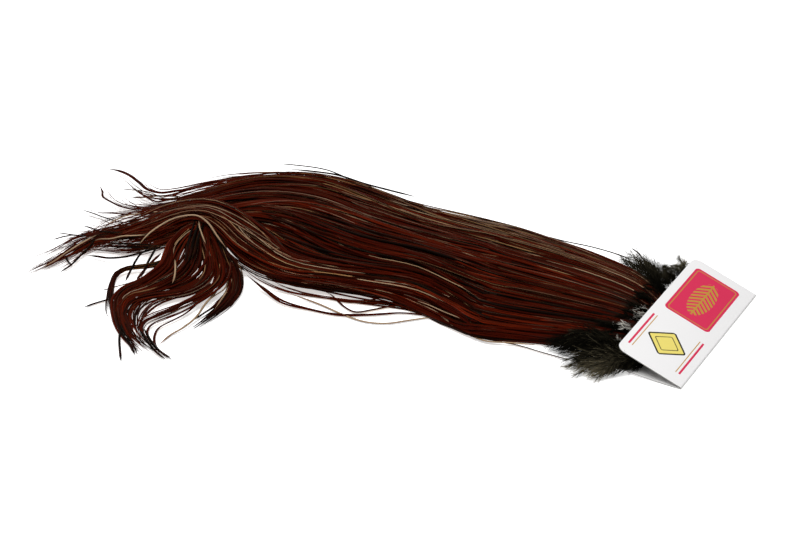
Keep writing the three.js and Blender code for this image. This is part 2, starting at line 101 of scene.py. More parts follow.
# Bundles of hackles, in millimetres. Each follows the body through some of its rows between two lanes
# (0 near edge, 1 far edge), and then fans out along routes of its own, from the first lane's to the
# last's. Under is the share of the body's height that it runs at. A buried bundle is made from a later
# row on, because only its end shows. Stagger is the share of its length over which its feathers end, and
# ends is over 1 where most of them reach its tip. Lean is over 1 where they gather at its first route.
# Sway is how far they swing to the sides, and splay how far its locks part at their tips. Tints run from
# 0, black, to 1, russet. Black tips and pale are shares of its feathers, and pale at is where along them
# the pale ones turn their underside up. Wide is how many usual widths they have, and an even bundle has
# them side by side and not in clumps.
BUNDLE_DEFAULTS = {"under": 1.0, "ends": 1.0, "lean": 1.0, "sway": 1.0, "wide": 1.0, "even": False}
BUNDLES = (
    {
        "name": "hackles_far_edge", "feathers": 340, "lanes": (0.97, 0.47), "rows": (0, 4),
        "stagger": 0.42, "ends": 0.8, "splay": 5.0,
        "tints": (0.05, 1.0), "black_tips": 0.1, "pale": 0.09, "pale_at": (0.2, 1.0),
        "routes": (
            ((-168, 148, 9), (-213, 175, 12), (-251, 188, 14), (-283, 190, 13), (-309, 188, 11),
             (-332, 178, 9), (-345, 173, 8), (-357, 177, 7), (-365, 188, 6), (-380, 210, 5),
             (-391, 215, 5)),
            ((-168, 135, 15), (-210, 164, 16), (-250, 179, 16), (-283, 179, 15), (-309, 180, 10),
             (-328, 172, 9), (-341, 165, 8), (-352, 163, 7), (-366, 179, 6), (-372, 187, 5)),
            ((-168, 118, 18), (-206, 146, 18), (-240, 167, 18), (-281, 170, 17), (-321, 161, 10),
             (-343, 153, 8), (-361, 152, 6), (-375, 159, 5), (-386, 169, 4), (-394, 191, 4)),
            ((-168, 103, 20), (-204, 128, 19), (-235, 150, 19), (-281, 158, 18), (-330, 151, 10),
             (-351, 146, 8), (-369, 148, 6), (-391, 150, 4), (-403, 159, 3)),
            ((-168, 89, 20), (-202, 112, 20), (-229, 131, 20), (-254, 145, 19), (-281, 148, 18),
             (-309, 147, 14), (-334, 146, 10), (-355, 142, 8), (-371, 140, 6), (-381, 135, 5),
             (-388, 117, 3)),
        ),
    },
    {
        "name": "hackles_tail", "feathers": 440, "lanes": (0.47, 0.09), "rows": (0, 4),
        "stagger": 0.26, "ends": 1.4, "splay": 4.5,
        "tints": (0.06, 1.0), "black_tips": 0.15, "pale": 0.03, "pale_at": (0.4, 1.0),
        "routes": (
            ((-168, 85, 21), (-202, 106, 21), (-229, 125, 21), (-253, 138, 20), (-281, 140, 19),
             (-318, 134, 14), (-337, 133, 10), (-359, 131, 7), (-372, 134, 5), (-382, 141, 4),
             (-395, 150, 3)),
            ((-168, 76, 21), (-202, 96, 21), (-230, 117, 21), (-258, 132, 20), (-285, 134, 19),
             (-318, 128, 15), (-353, 124, 10), (-379, 120, 5), (-391, 117, 4), (-409, 96, 2),
             (-430, 74, 1)),
            ((-168, 68, 20), (-202, 84, 20), (-229, 103, 20), (-256, 123, 19), (-285, 131, 18),
             (-320, 126, 14), (-362, 118, 7), (-390, 116, 4), (-402, 108, 3)),
            ((-169, 60, 20), (-202, 74, 20), (-229, 93, 20), (-254, 115, 19), (-283, 130, 17),
             (-316, 126, 14), (-350, 117, 9), (-378, 116, 5), (-391, 111, 4), (-403, 98, 2),
             (-414, 84, 1)),
            ((-169, 52, 19), (-202, 64, 19), (-229, 83, 19), (-252, 108, 18), (-278, 127, 16),
             (-310, 122, 13), (-338, 112, 9), (-360, 104, 6), (-382, 107, 3), (-392, 110, 2)),
            ((-169, 43, 18), (-201, 54, 19), (-228, 68, 17), (-250, 86, 14), (-272, 108, 13),
             (-293, 122, 13), (-314, 119, 12), (-334, 110, 9), (-350, 104, 6), (-366, 105, 4),
             (-382, 108, 3)),
        ),
    },
    {
        "name": "hackles_arch", "feathers": 420, "lanes": (0.09, 0.0), "rows": (0, 4),
        "stagger": 0.36, "ends": 1.2, "splay": 4.5,
        "tints": (0.1, 1.0), "black_tips": 0.15, "pale": 0.12, "pale_at": (0.4, 0.85),
        "routes": (
            ((-168, 46, 16), (-204, 52, 17), (-231, 57, 18), (-254, 66, 19), (-269, 87, 20),
             (-286, 108, 22), (-302, 121, 24), (-318, 130, 23), (-338, 131, 18), (-362, 123, 11),
             (-388, 115, 5), (-410, 98, 3)),
            ((-168, 36, 12), (-204, 45, 14), (-230, 51, 15), (-252, 55, 16), (-270, 68, 17),
             (-286, 84, 19), (-299, 104, 21), (-312, 118, 21), (-324, 123, 19), (-339, 121, 14),
             (-354, 112, 8), (-374, 107, 4)),
            ((-168, 26, 4), (-184, 36, 6), (-204, 43, 8), (-230, 50, 9), (-250, 54, 11), (-268, 63, 12),
             (-284, 80, 14), (-296, 101, 16), (-309, 116, 17), (-321, 120, 16), (-334, 115, 12),
             (-350, 107, 7), (-370, 101, 3)),
        ),
    },
    {
        "name": "hackles_near_loose", "feathers": 16, "lanes": (0.02, 0.0), "rows": (0, 1),
        "stagger": 0.7, "sway": 0.5, "splay": 2.0,
        "tints": (0.0, 1.0), "black_tips": 0.1, "pale": 0.12, "pale_at": (0.2, 1.0),
        "routes": (
            ((-60, -15, 6), (-100, -9, 5), (-131, -1, 4), (-160, 18, 3), (-182, 32, 2), (-204, 39, 2),
             (-234, 49, 3), (-255, 56, 4), (-273, 65, 7), (-285, 81, 10), (-294, 101, 12)),
            ((-58, -18, 4), (-90, -15, 3), (-125, -8, 2), (-150, 7, 2), (-169, 26, 1), (-192, 33, 1),
             (-215, 37, 1), (-234, 42, 1), (-255, 48, 3), (-267, 55, 5), (-277, 62, 7), (-286, 76, 9),
             (-294, 90, 10)),
        ),
    },
    {
        "name": "hackles_hook", "feathers": 215, "lanes": (0.46, 0.3), "rows": (5, 7),
        "under": 0.5, "stagger": 0.36, "ends": 0.8, "lean": 2.0, "sway": 0.7, "splay": 2.6,
        "tints": (0.1, 1.0), "black_tips": 0.5, "pale": 0.11, "pale_at": (0.3, 1.0),
        "routes": (
            ((-283, 105, 10), (-305, 115, 14), (-321, 110, 15), (-333, 92, 13), (-335, 77, 11),
             (-337, 66, 9), (-343, 57, 8), (-350, 51, 6), (-357, 47, 5), (-363, 42, 4), (-365, 33, 3),
             (-364, 20, 2.5), (-361, 6, 2), (-355, -10, 1.5), (-346, -26, 1)),
            ((-281, 99, 10), (-302, 114, 14), (-314, 115, 15), (-318, 96, 13), (-320, 76, 11),
             (-327, 58, 9), (-339, 48, 7), (-349, 43, 5.5), (-357, 40, 4.5), (-361, 33, 4),
             (-362, 22, 3), (-360, 10, 2), (-354, -6, 1.5), (-344, -21, 1), (-332, -31, 1)),
            ((-280, 96, 10), (-300, 112, 14), (-312, 113, 15), (-311, 93, 12), (-308, 76, 11),
             (-308, 61, 9), (-313, 50, 8), (-319, 44, 7), (-330, 40, 6), (-343, 38, 5), (-353, 34, 4),
             (-358, 26, 3), (-358, 15, 2), (-353, 0, 1.5), (-343, -16, 1), (-330, -30, 1)),
            ((-279, 94, 10), (-299, 110, 14), (-310, 112, 15), (-306, 90, 12), (-301, 67, 10),
             (-301, 50, 8), (-308, 39, 6), (-318, 31, 5), (-331, 21, 4), (-343, 14, 2.5), (-348, 6, 2),
             (-347, -5, 1.5), (-338, -20, 1.5)),
            ((-278, 91, 10), (-297, 108, 14), (-307, 110, 15), (-302, 88, 12), (-297, 66, 9),
             (-299, 48, 7), (-307, 34, 5), (-318, 20, 3), (-330, 10, 2), (-339, 4, 1.5), (-340, -8, 1),
             (-332, -27, 1)),
        ),
    },
    {
        "name": "hackles_loop", "feathers": 9, "lanes": (0.58, 0.46), "rows": (5, 7),
        "under": 0.5, "stagger": 0.1, "sway": 0.35, "splay": 1.0,
        "tints": (0.0, 0.14), "black_tips": 0.9, "pale": 0.03, "pale_at": (0.3, 1.0),
        "routes": (
            ((-282, 113, 10), (-309, 117, 14), (-325, 101, 13), (-338, 79, 9), (-349, 77, 7),
             (-357, 76, 6), (-365, 75, 5), (-370, 72, 4), (-372, 66, 3), (-373, 55, 2), (-372, 39, 2),
             (-371, 25, 2), (-369, 17, 1.5), (-366, 11, 1.5)),
            ((-281, 109, 10), (-306, 114, 14), (-322, 98, 13), (-337, 77, 9), (-348, 75, 7),
             (-356, 74, 6), (-363, 73, 5), (-368, 70, 4), (-370, 64, 3), (-371, 54, 2), (-370, 39, 2),
             (-369, 25, 2), (-367, 17, 1.5), (-363, 9, 1.5)),
        ),
    },
    {
        "name": "hackles_tuft", "feathers": 70, "lanes": (0.24, 0.18), "rows": (5, 7),
        "under": 0.5, "stagger": 0.25, "ends": 0.9, "sway": 0.5, "splay": 3.0,
        "tints": (0.0, 0.8), "black_tips": 1.0, "pale": 0.16, "pale_at": (0.4, 0.9),
        "routes": (
            ((-276, 88, 10), (-296, 106, 14), (-307, 107, 14), (-298, 86, 11), (-290, 70, 8),
             (-287, 56, 5), (-289, 42, 3), (-297, 24, 2), (-311, 5, 1.5)),
            ((-276, 86, 10), (-293, 102, 13), (-302, 102, 13), (-299, 82, 10), (-295, 62, 7),
             (-294, 46, 4), (-299, 30, 3), (-308, 13, 2), (-315, 1, 1.5)),
        ),
    },
    {
        "name": "hackles_under", "feathers": 40, "lanes": (0.95, 0.1), "rows": (0, 4),
        "under": 0.3, "wide": 6.0, "even": True, "stagger": 0.15, "sway": 0.5, "splay": 1.0,
        "tints": (0.0, 0.45), "black_tips": 0.0, "pale": 0.0, "pale_at": (0.4, 0.9),
        "routes": (
            ((-168, 141, 2), (-213, 169, 2), (-251, 183, 2), (-283, 185, 2), (-307, 183, 2),
             (-324, 177, 2)),
            ((-168, 124, 3), (-208, 152, 3), (-243, 171, 3), (-281, 173, 3), (-314, 166, 3),
             (-336, 158, 2)),
            ((-168, 103, 4), (-204, 128, 4), (-235, 150, 4), (-281, 158, 4), (-322, 152, 3),
             (-340, 149, 2)),
            ((-168, 80, 4), (-202, 101, 4), (-229, 121, 4), (-254, 138, 4), (-283, 141, 4),
             (-318, 134, 3), (-342, 131, 2)),
            ((-168, 60, 4), (-202, 74, 4), (-229, 93, 4), (-254, 115, 4), (-283, 130, 4),
             (-312, 127, 3)),
            ((-168, 40, 3), (-198, 54, 3), (-220, 68, 3), (-238, 86, 3)),
        ),
    },
)
HACKLE_NAME = "glossy_rooster_hackle"
# Points along a feather, how much closer they lie towards its tip, and knots on a bundle's route.
STATIONS = 46
STATION_CROWDING = 1.4
TIP_KNOTS = 22
# Feathers between two routes gather towards the nearer one: closer than the first share they lie on it.
ROUTE_PULL = (0.2, 0.8)
# Clumps: the feathers in one, the fewest that there are, the spread of one as a share of its bundle's
# width, and the shares between which all feathers stay.
FEATHERS_PER_CLUMP = 9
FEWEST_CLUMPS = 3
CLUMP_SPREAD = 0.022
BUNDLE_SHARES = (-0.03, 1.03)
# Most feathers lie near the body's surface, the deepest this share lower, and those turned over near the
# top.
DEPTH_POWER = 1.5
DEEPEST = 0.5
TURNED_DEPTH = 0.2
# The longest feathers end just past their route. Feathers come free over this share of their length.
FULL_REACH = 1.02
FREE_ALONG = (0.0, 0.35)
# Swings to the sides and up, in millimetres, and how many there are along a feather.
CLUMP_SWAY = 3.2
CLUMP_SWINGS = (0.7, 1.5)
FEATHER_SWAY = 2.4
FEATHER_SWINGS = (0.9, 2.4)
FEATHER_SPLAY = 0.3
SPLAY_POWER = 4
CLUMP_LIFT = 0.9
FEATHER_LIFT = 1.4
LIFT_SWINGS = (1.0, 2.5)
# Feathers lower than this many millimetres swing up less, down to a least share.
FULL_LIFT_HEIGHT = 8
LEAST_LIFT = 0.2
# Feathers tilt with the body's flanks, in degrees at its edges, and lie level past these shares.
EDGE_TILT = 50
LEVEL_ALONG = (0.45, 0.7)
# Roll of a feather about its shaft, in radians, which dies away over these shares.
ROLL_SPREAD = 0.3
TWIST = 0.5
TWIST_TURNS = (0.5, 2.0)
STEADY_ALONG = (0.5, 0.9)
# A pale stretch: half its length and the length of the turn at each end, as shares, and its width.
PALE_HALF = (0.12, 0.35)
PALE_TURN = 0.08
PALE_WIDTH = 0.55
WIDTH_RANGE = (0.75, 1.25)
BLACK_RANGE = (0.6, 1.0)
# Length of the dusky web at a hackle's base, in millimetres: the least, the range, and the share less that
# it has at the far edge.
WEB_LEAST = 16
WEB_RANGE = 60
WEB_POWER = 1.3
WEB_FAR_LOSS = 0.65
# A feather's outline: its width at the root, where it is full, how much it narrows and where, as shares.
ROOT_WIDTH = 0.45
ROOT_WIDENING = 0.55
FULL_WIDTH_AT = 0.12
TIP_NARROWING = 0.92
TIP_ALONG = (0.84, 1.01)
# Its thickness in millimetres, from the shaft's and a share of its half width, and how it thins at the tip.
SHAFT_THICKNESS = 0.1
VANE_THICKNESS = 0.45
FEATHER_THICKEST = 0.8
TIP_THINNING = 0.8
THIN_ALONG = (0.8, 1.0)

# Single feathers that lie apart from the bundles: their tone and their route in millimetres.
STRAYS = (
    # Loose along the near edge.
    ("red", ((-159, 14, 2), (-163, 18, 1), (-180, 22, 1), (-204, 20, 1), (-224, 21, 1), (-242, 28, 1),
             (-258, 36, 2), (-271, 49, 4), (-282, 60, 7))),
    ("red", ((-180, 22, 1), (-204, 19, 1), (-221, 19, 1), (-240, 26, 1), (-258, 33, 2), (-270, 46, 4),
             (-281, 58, 7))),
    ("pale", ((-158, 14, 2), (-163, 16, 1), (-175, 13, 1), (-190, 9, 1), (-204, 11, 1), (-217, 19, 1),
              (-234, 33, 1), (-248, 41, 2), (-256, 45, 3))),
    ("red", ((-155, 13, 3), (-161, 17, 2), (-172, 30, 1), (-184, 31, 1), (-199, 26, 1), (-210, 23, 1),
             (-217, 29, 1), (-223, 39, 1), (-227, 44, 2), (-233, 47, 3))),
    ("red", ((-193, 38, 3), (-202, 36, 2), (-213, 35, 1), (-228, 40, 1), (-242, 44, 2), (-251, 48, 3),
             (-262, 53, 4))),
    ("hair", ((-170, 20, 2), (-178, 28, 1), (-185, 33, 1), (-192, 35, 3))),
    ("hair", ((-137, -10, 3), (-118, -15, 2), (-106, -18, 1), (-94, -25, 1), (-83, -31, 1),
              (-70, -40, 2))),
    ("pale", ((-97, -20, 3), (-112, -16, 2), (-127, -14, 2), (-137, -7, 2), (-146, 1, 3), (-155, 12, 5),
              (-162, 19, 6), (-170, 26, 6))),
    ("pale", ((-170, 25, 8), (-162, 20, 7.5), (-153, 12, 7.5), (-141, 3, 7.5), (-131, -5, 8),
              (-115, -9, 7.5), (-104, -11, 7))),
    ("pale", ((-157, 13, 3.5), (-147, 6, 4.5), (-136, -2, 5.5), (-126, -6, 6))),
    # Above the far edge.
    ("hair", ((-85, 110, 9), (-71, 104, 8), (-53, 96, 8), (-38, 87, 8), (-26, 77, 8))),
    ("hair", ((-182, 168, 11), (-213, 185, 11), (-231, 200, 11), (-241, 205, 11), (-256, 209, 11),
              (-273, 212, 11))),
    ("black", ((-172, 162, 11), (-205, 180, 11), (-226, 194, 11), (-246, 200, 11), (-262, 203, 11))),
    # By the card on the far side.
    ("hair", ((-12.8, 68, 9), (-15.9, 71, 9), (-20, 78, 9), (-22.8, 84, 10), (-27.4, 92, 10))),
    # At the far tips.
    ("red", ((-325, 174, 11), (-338, 172, 10), (-349, 173, 8), (-359, 180, 7), (-366, 192, 6),
             (-374, 203, 6), (-383, 212, 5), (-392, 215, 5))),
    ("red", ((-335, 162, 10), (-346, 159, 9), (-351, 160, 8), (-360, 170, 7), (-365, 178, 6),
             (-371, 186, 5))),
    ("brown", ((-350, 147, 10), (-365, 149, 8), (-374, 156, 6), (-384, 166, 5), (-390, 175, 4),
               (-391, 182, 4), (-394, 191, 4))),
    ("red", ((-335, 164, 10), (-351, 168, 8), (-362, 168, 7), (-371, 170, 6))),
    ("hair", ((-346, 163, 9), (-358, 174, 8), (-370, 179, 7), (-381, 183, 6))),
    ("red", ((-344, 136, 12), (-359, 140, 9), (-373, 144, 7), (-385, 149, 5), (-393, 150, 4))),
    ("hair", ((-358, 128, 12), (-371, 130, 8), (-384, 140, 6), (-395, 151, 4), (-404, 158, 3))),
    ("black", ((-369, 112, 10), (-379, 118, 7), (-386, 123, 5), (-394, 130, 4), (-400, 135, 3))),
    ("hair", ((-378, 113, 8), (-391, 117, 5), (-401, 121, 3), (-411, 125, 2), (-419, 127, 2))),
    ("hair", ((-394, 116, 5), (-405, 121, 3), (-412, 120, 2), (-418, 116, 2))),
    ("pale", ((-343, 131, 16), (-357, 136, 12), (-370, 137, 9), (-379, 132, 7), (-385, 125, 5))),
    # At the long tail.
    ("red", ((-385, 114, 8), (-396, 113, 5), (-405, 102, 3), (-414, 88, 2), (-423, 79, 2),
             (-430, 73, 1))),
    ("red", ((-388, 110, 8), (-397, 103, 5), (-405, 96, 3), (-412, 86, 2), (-420, 78, 1))),
    ("pale", ((-387, 112, 8), (-397, 106, 5), (-405, 98, 3), (-413, 87, 2), (-421, 79, 1))),
    ("black", ((-388, 110, 6), (-391, 103, 4), (-395, 95, 3), (-401, 82, 2), (-408, 73, 1))),
    ("black", ((-405, 91, 3), (-404, 88, 2), (-400, 81, 2))),
    ("black", ((-344, 96, 9), (-355, 99, 8), (-369, 104, 6), (-380, 107, 5), (-389, 108, 4))),
    ("pale", ((-353, 107, 11), (-361, 108, 10), (-369, 109, 9), (-377, 109, 7), (-385, 111, 5.5),
              (-389, 109, 5))),
    ("black", ((-346, 94, 9), (-357, 97, 7), (-370, 101, 5), (-381, 104, 4), (-390, 105, 3))),
    ("black", ((-340, 96, 9), (-353, 91, 7), (-365, 88, 5), (-376, 88, 4), (-385, 92, 3),
               (-392, 95, 2))),
    # Inside the loop and outside the hook.
    ("black", ((-350, 92, 9), (-355, 85, 8), (-359, 71, 6), (-362, 56, 4))),
    ("black", ((-345, 92, 9), (-349, 76, 7), (-352, 60, 5))),
    ("red", ((-341, 85, 9), (-346, 78, 7), (-351, 69, 5), (-355, 58, 4))),
    ("hair", ((-340, 60, 5), (-352, 58, 4), (-364, 54, 3), (-374, 50, 2), (-381, 49, 1))),
    ("black", ((-352, 46, 2), (-365, 42, 1), (-373, 38, 1), (-381, 33, 1), (-387, 28, 1))),
    ("black", ((-359, 6, 2), (-359, -9, 2), (-357, -25, 2), (-355, -37, 1))),
    ("black", ((-362, 8, 2), (-359, -3, 2), (-352, -17, 2), (-347, -29, 1))),
    ("black", ((-360, 6, 2), (-356, -5, 2), (-350, -17, 2), (-346, -27, 1))),
    ("black", ((-347, 0, 2), (-341, -14, 2), (-334, -27, 2), (-327, -35, 1))),
    ("black", ((-344, 0, 2), (-338, -15, 2), (-331, -27, 2), (-323, -35, 1))),
    # Across the inside of the hook.
    ("red", ((-300, 50, 7), (-309, 35, 5), (-318, 20, 3), (-327, 11, 2), (-335, 3, 1.5),
             (-337, -7, 1.5), (-336, -16, 1), (-333, -23, 1), (-323, -33, 1))),
    ("red", ((-302, 47, 7), (-310, 32, 5), (-321, 19, 4), (-331, 13, 3), (-340, 6, 2), (-342, -4, 2),
             (-338, -15, 1.5), (-332, -27, 1))),
    ("red", ((-305, 49, 7), (-314, 37, 5), (-324, 26, 4), (-335, 17, 3), (-344, 11, 2), (-346, 1, 2),
             (-342, -10, 1.5), (-336, -22, 1))),
    ("pale", ((-299, 48, 7), (-302, 40, 5), (-307, 29, 4), (-312, 14, 3), (-319, 3, 2), (-327, -5, 1),
              (-334, -18, 1))),
    # Pale over the arch, in the hook and beside the tuft.
    ("pale", ((-356, 97, 10), (-351, 102, 14), (-344, 106, 18), (-334, 110, 22), (-324, 110, 24.5),
              (-317, 109, 24.5), (-310, 102, 23), (-303, 89, 20), (-296, 77, 17))),
    ("pale", ((-330, 70, 13), (-329, 61, 12), (-329, 52, 10), (-330, 46, 9))),
    ("pale", ((-297, 86, 10), (-294, 72, 8), (-294, 59, 6), (-296, 46, 5), (-303, 37, 4),
              (-307, 31, 3))),
    ("pale", ((-293, 76, 9), (-292, 65, 7), (-293, 50, 5), (-297, 35, 4), (-301, 23, 3))),
    ("pale", ((-317, 110, 20), (-316, 104, 18), (-313, 94, 16), (-311, 89, 14))),
    # Black gaps below the arch.
    ("black", ((-320, 117, 17), (-322, 95, 17), (-323, 81, 15), (-323, 67, 13))),
    ("black", ((-317, 115, 17), (-319, 96, 17), (-320, 82, 15), (-321, 66, 13))),
    ("black", ((-314, 112, 17), (-316, 97, 17), (-317, 84, 15), (-319, 70, 13))),
    ("black", ((-309, 106, 17), (-303, 92, 16), (-299, 78, 14), (-296, 70, 12))),
    ("black", ((-306, 104, 17), (-300, 90, 16), (-296, 77, 14), (-293, 68, 12))),
    ("black", ((-299, 92, 13), (-295, 86, 12), (-290, 79, 10), (-283, 73, 7), (-276, 68, 5))),
    ("black", ((-300, 90, 12), (-296, 82, 11), (-293, 76, 9), (-288, 71, 7), (-283, 68, 5))),
    ("black", ((-298, 92, 13), (-293, 86, 12), (-288, 79, 10), (-281, 73, 8), (-273, 69, 6))),
)
# What makes a stray's tone: its tint, whether it shows its underside, how black its tip is, and how many
# usual widths it has.
TONES = {
    "red": (0.6, 0, 0.5, 1.45),
    "brown": (0.35, 0, 0.4, 1.1),
    "black": (0.02, 0, 1.0, 1.3),
    "pale": (0.7, 1, 0.0, 0.95),
    "hair": (0.02, 0, 1.0, 0.75),
}
STRAY_STATIONS = 40
STRAY_WIDTHS = (0.8, 1.1)

# The card's print, in millimetres: each shape's center along the fold and up from it, its half sizes, the
# radius of its corners, its turn in degrees, the half width of its line (0 where it is filled) and its ink.
PRINT = (
    (27, 24.5, 28, 16.5, 3.0, 0, 0.0, "crimson"),
    (27, 24.5, 26, 14.5, 2.0, 0, 0.3, "gold"),
    (-33, 24.0, 9.5, 9.5, 1.5, 45, 0.0, "yellow"),
    (-33, 24.0, 9.5, 9.5, 1.5, 45, 0.6, "ink"),
    (-33, 24.0, 6.0, 6.0, 1.0, 45, 0.3, "ink"),
    (-33, 42.5, 20, 0.7, 0.6, 0, 0.0, "crimson"),
    (-33, 40.0, 20, 0.3, 0.2, 0, 0.0, "gold"),
    (-33, 6.0, 20, 0.7, 0.6, 0, 0.0, "crimson"),
    (-33, 8.5, 20, 0.3, 0.2, 0, 0.0, "gold"),
)
# The gold sprig on the crimson panel: its center and half sizes, the spacing, width and slant of its
# leaves, and the half width of its stem.
SPRIG_CENTER = (27, 24.5)
SPRIG_HALF = (20, 8)
SPRIG_SPACING = 4.2
SPRIG_LEAF = SPRIG_SPACING * 0.55
SPRIG_SLANT = 0.9
SPRIG_STEM = 0.5
# Painted shade along the fold, in millimetres up the flat card from its end: where it ends and is darkest.
FOLD_SHADE_END = 0.6
FOLD_SHADE_DARKEST = -1.2

# Clumps of down beside and between the hackle roots, in millimetres. Spread is how far tips stray from
# their places, slant the angle of the barbs to their shaft in degrees, lift how far the shafts arch up,
# fine the share of the usual thickness that the barbs have, white is 1 where they are white, and each tip
# ends with how light its plumes are.
DOWN_CLUMPS = (
    {
        "name": "down_near", "plumes": 92, "barbs": 104, "spread": 3.0,
        "slant": (18, 60), "lift": 3, "fine": 1.0, "white": 0.0,
        "roots": ((-44, -22, 6), (-38, -29, 6), (-32, -36, 5), (-27, -44, 4)),
        "tips": ((-91, -21, 3, 0.1), (-85, -26, 3, 0.15), (-88, -20, 4, 0.2), (-79, -33, 3, 0.2),
                 (-79, -22, 8, 0.6), (-80, -27, 4, 0.15), (-68, -23, 11, 0.6), (-76, -34, 4, 0.1),
                 (-66, -32, 9, 0.2), (-58, -37, 8, 0.05), (-78, -41, 4, 0.3), (-77, -48, 3, 1.2),
                 (-75, -55, 3, 1.5), (-65, -60, 3, 1.4), (-62, -46, 7, 0.4), (-70, -50, 6, 0.8),
                 (-56, -52, 4, 0.7), (-52, -43, 7, 0.05), (-47, -47, 4, 0.2), (-45, -50, 3, 0.4)),
    },
    {
        "name": "down_far", "plumes": 44, "barbs": 140, "spread": 2.0,
        "slant": (25, 65), "lift": 2, "fine": 0.85, "white": 0.0,
        "roots": ((-10, 32, 9), (-6, 40, 9), (-1, 48, 8), (3, 55, 8)),
        "tips": ((-13, 46, 7, 0.1), (-18, 58, 6, 0.15), (-33, 82, 8, 0.9), (-28, 84, 8, 1.0),
                 (-22, 78, 8, 1.1), (-7.5, 54, 5, 0.1), (-16, 68, 8, 1.0), (-11, 64, 8, 0.5),
                 (-4, 60, 9, 0.3), (-5, 68, 9, 1.1), (0, 73, 9, 1.6), (5, 75, 9, 1.8), (9, 68, 9, 1.7)),
    },
    {
        "name": "down_roots", "plumes": 40, "barbs": 70, "spread": 2.0,
        "slant": (3, 13), "lift": 0.5, "fine": 1.0, "white": 0.0,
        "roots": ((-33, -20, 8), (-28, -8, 10), (-22, 4, 11), (-17, 15, 11), (-13, 25, 10)),
        "tips": ((-60, -17, 8, 0.2), (-56, -9, 12, 0.25), (-51, -3, 13, 0.2), (-41, 6, 14, 0.3),
                 (-37, 13, 14, 0.2), (-34, 21, 14, 0.25), (-31, 30, 13, 0.2), (-27, 38, 12, 0.25)),
    },
    {
        "name": "down_white", "plumes": 36, "barbs": 50, "spread": 2.6,
        "slant": (3, 16), "lift": 0.5, "fine": 0.5, "white": 1.0,
        "roots": ((-36, -14, 11), (-22, -2, 11.5), (-43, -29, 8.5), (-45, -33, 7)),
        "tips": ((-44, -12, 12, 1.5), (-31, 0, 12.5, 1.4), (-48, -26, 9.5, 0.9), (-53, -32, 6.5, 0.9)),
    },
)
# Plumes: how far roots and middles stray in millimetres, flatter in height, and how much of the way they go.
ROOT_SPREAD = 2.0
ROOT_FLATTENING = (1, 1, 0.5)
TIP_FLATTENING = (1, 1, 0.6)
MIDDLE_SPREAD = 1.5
PLUME_REACH = (0.7, 1.0)
# Barbs: where they sit along the shaft, the step that gives its direction there, and how flat they lie.
BARB_ALONG = (0.12, 1.0)
SHAFT_STEP = 0.05
BARB_FLATTENING = 0.7
# Their slant is this many times the clump's at the plume's root, and this much less at its tip.
ROOT_SLANT = 1.15
SLANT_LOSS = 0.5
# Their length as a share of the plume's: the power makes them longest a little short of its middle.
BARB_LENGTH = 0.28
LONGEST_POWER = 0.8
BARB_LENGTHS = (0.5, 1.3)
# How they bend forwards and stray, as shares of their length, and ripple: its turn along a barb and where
# it starts, in radians, and its size in millimetres.
BARB_BEND = 0.3
BARB_STRAY = 0.16
RIPPLE_TURN = 5
RIPPLE_STARTS = (0, 6)
RIPPLE_SIZE = 0.5
BARB_STATIONS = 4
BARB_CORNERS = 3
BARB_THINNING = 0.75
# A direction near upright, which no barb follows.
BARB_UP = np.array([0.1, 0.2, 1.0])
# How light plumes and barbs are: their ranges, and the share that a barb at the root has.
PLUME_TINTS = (0.5, 1.2)
BARB_TINTS = (0.3, 1.3)
ROOT_TINT = 0.3
TINT_GAIN = 0.7

# The stage, in metres and degrees, and the camera's sensor in millimetres.
FLOOR_SIZE = 12
FLOOR_DROP = 0.0003
SENSOR_WIDTH = 36
SOFTBOX_SIZE = 1.1
SOFTBOX_PLACE = (-0.4, -0.35, 1.5)
SOFTBOX_TURN = (16, -8, 0)

# Settings that many shader nodes share, and the inputs of one that mixes colours.
COLOURS = {"data_type": "RGBA"}
SMOOTH_STEP = {"interpolation_type": "SMOOTHSTEP"}
SCALE = {"operation": "SCALE"}
MULTIPLY = {"operation": "MULTIPLY"}
SUBTRACT = {"operation": "SUBTRACT"}
ABSOLUTE = {"operation": "ABSOLUTE"}
MAXIMUM = {"operation": "MAXIMUM"}
LENGTH = {"operation": "LENGTH"}
LESS_THAN = {"operation": "LESS_THAN"}
MIX_SHARE = 0
MIX_FIRST = 6
MIX_SECOND = 7
# Lengths of a hackle's streaks, its painted highlight edges and the soft end of its web, in millimetres, the
# streaks across it, and how far the patterns of the lightest and the darkest hackle lie apart.
STREAK_LENGTH = 20
STREAKS_ACROSS = 9.0
STREAK_CHANGE = 40.0
HIGHLIGHT_EDGE_LENGTH = 50
HIGHLIGHT_EDGE_CHANGE = 90.0
WEB_BLUR = 8.0
# Board fibres and blotches of the skin, in millimetres.
FIBRE_SIZE = 2
BLOTCH_SIZE = 12


def linear(colour):
    """An sRGB hex colour as linear red, green, blue and alpha."""
    parts = [int(colour[i : i + 2], 16) / 255 for i in (1, 3, 5)]
    return [c / 12.92 if c <= 0.04045 else ((c + 0.055) / 1.055) ** 2.4 for c in parts] + [1.0]


def length_property(name, description, metres):
    """A length that a user can change."""
    return bpy.props.FloatProperty(name=name, description=description, default=metres, unit="LENGTH")


def colour_property(name, description, colour):
    """A colour that a user can change, from an sRGB hex colour."""
    return bpy.props.FloatVectorProperty(
        name=name, description=description, subtype="COLOR", size=4, default=linear(colour)
    )


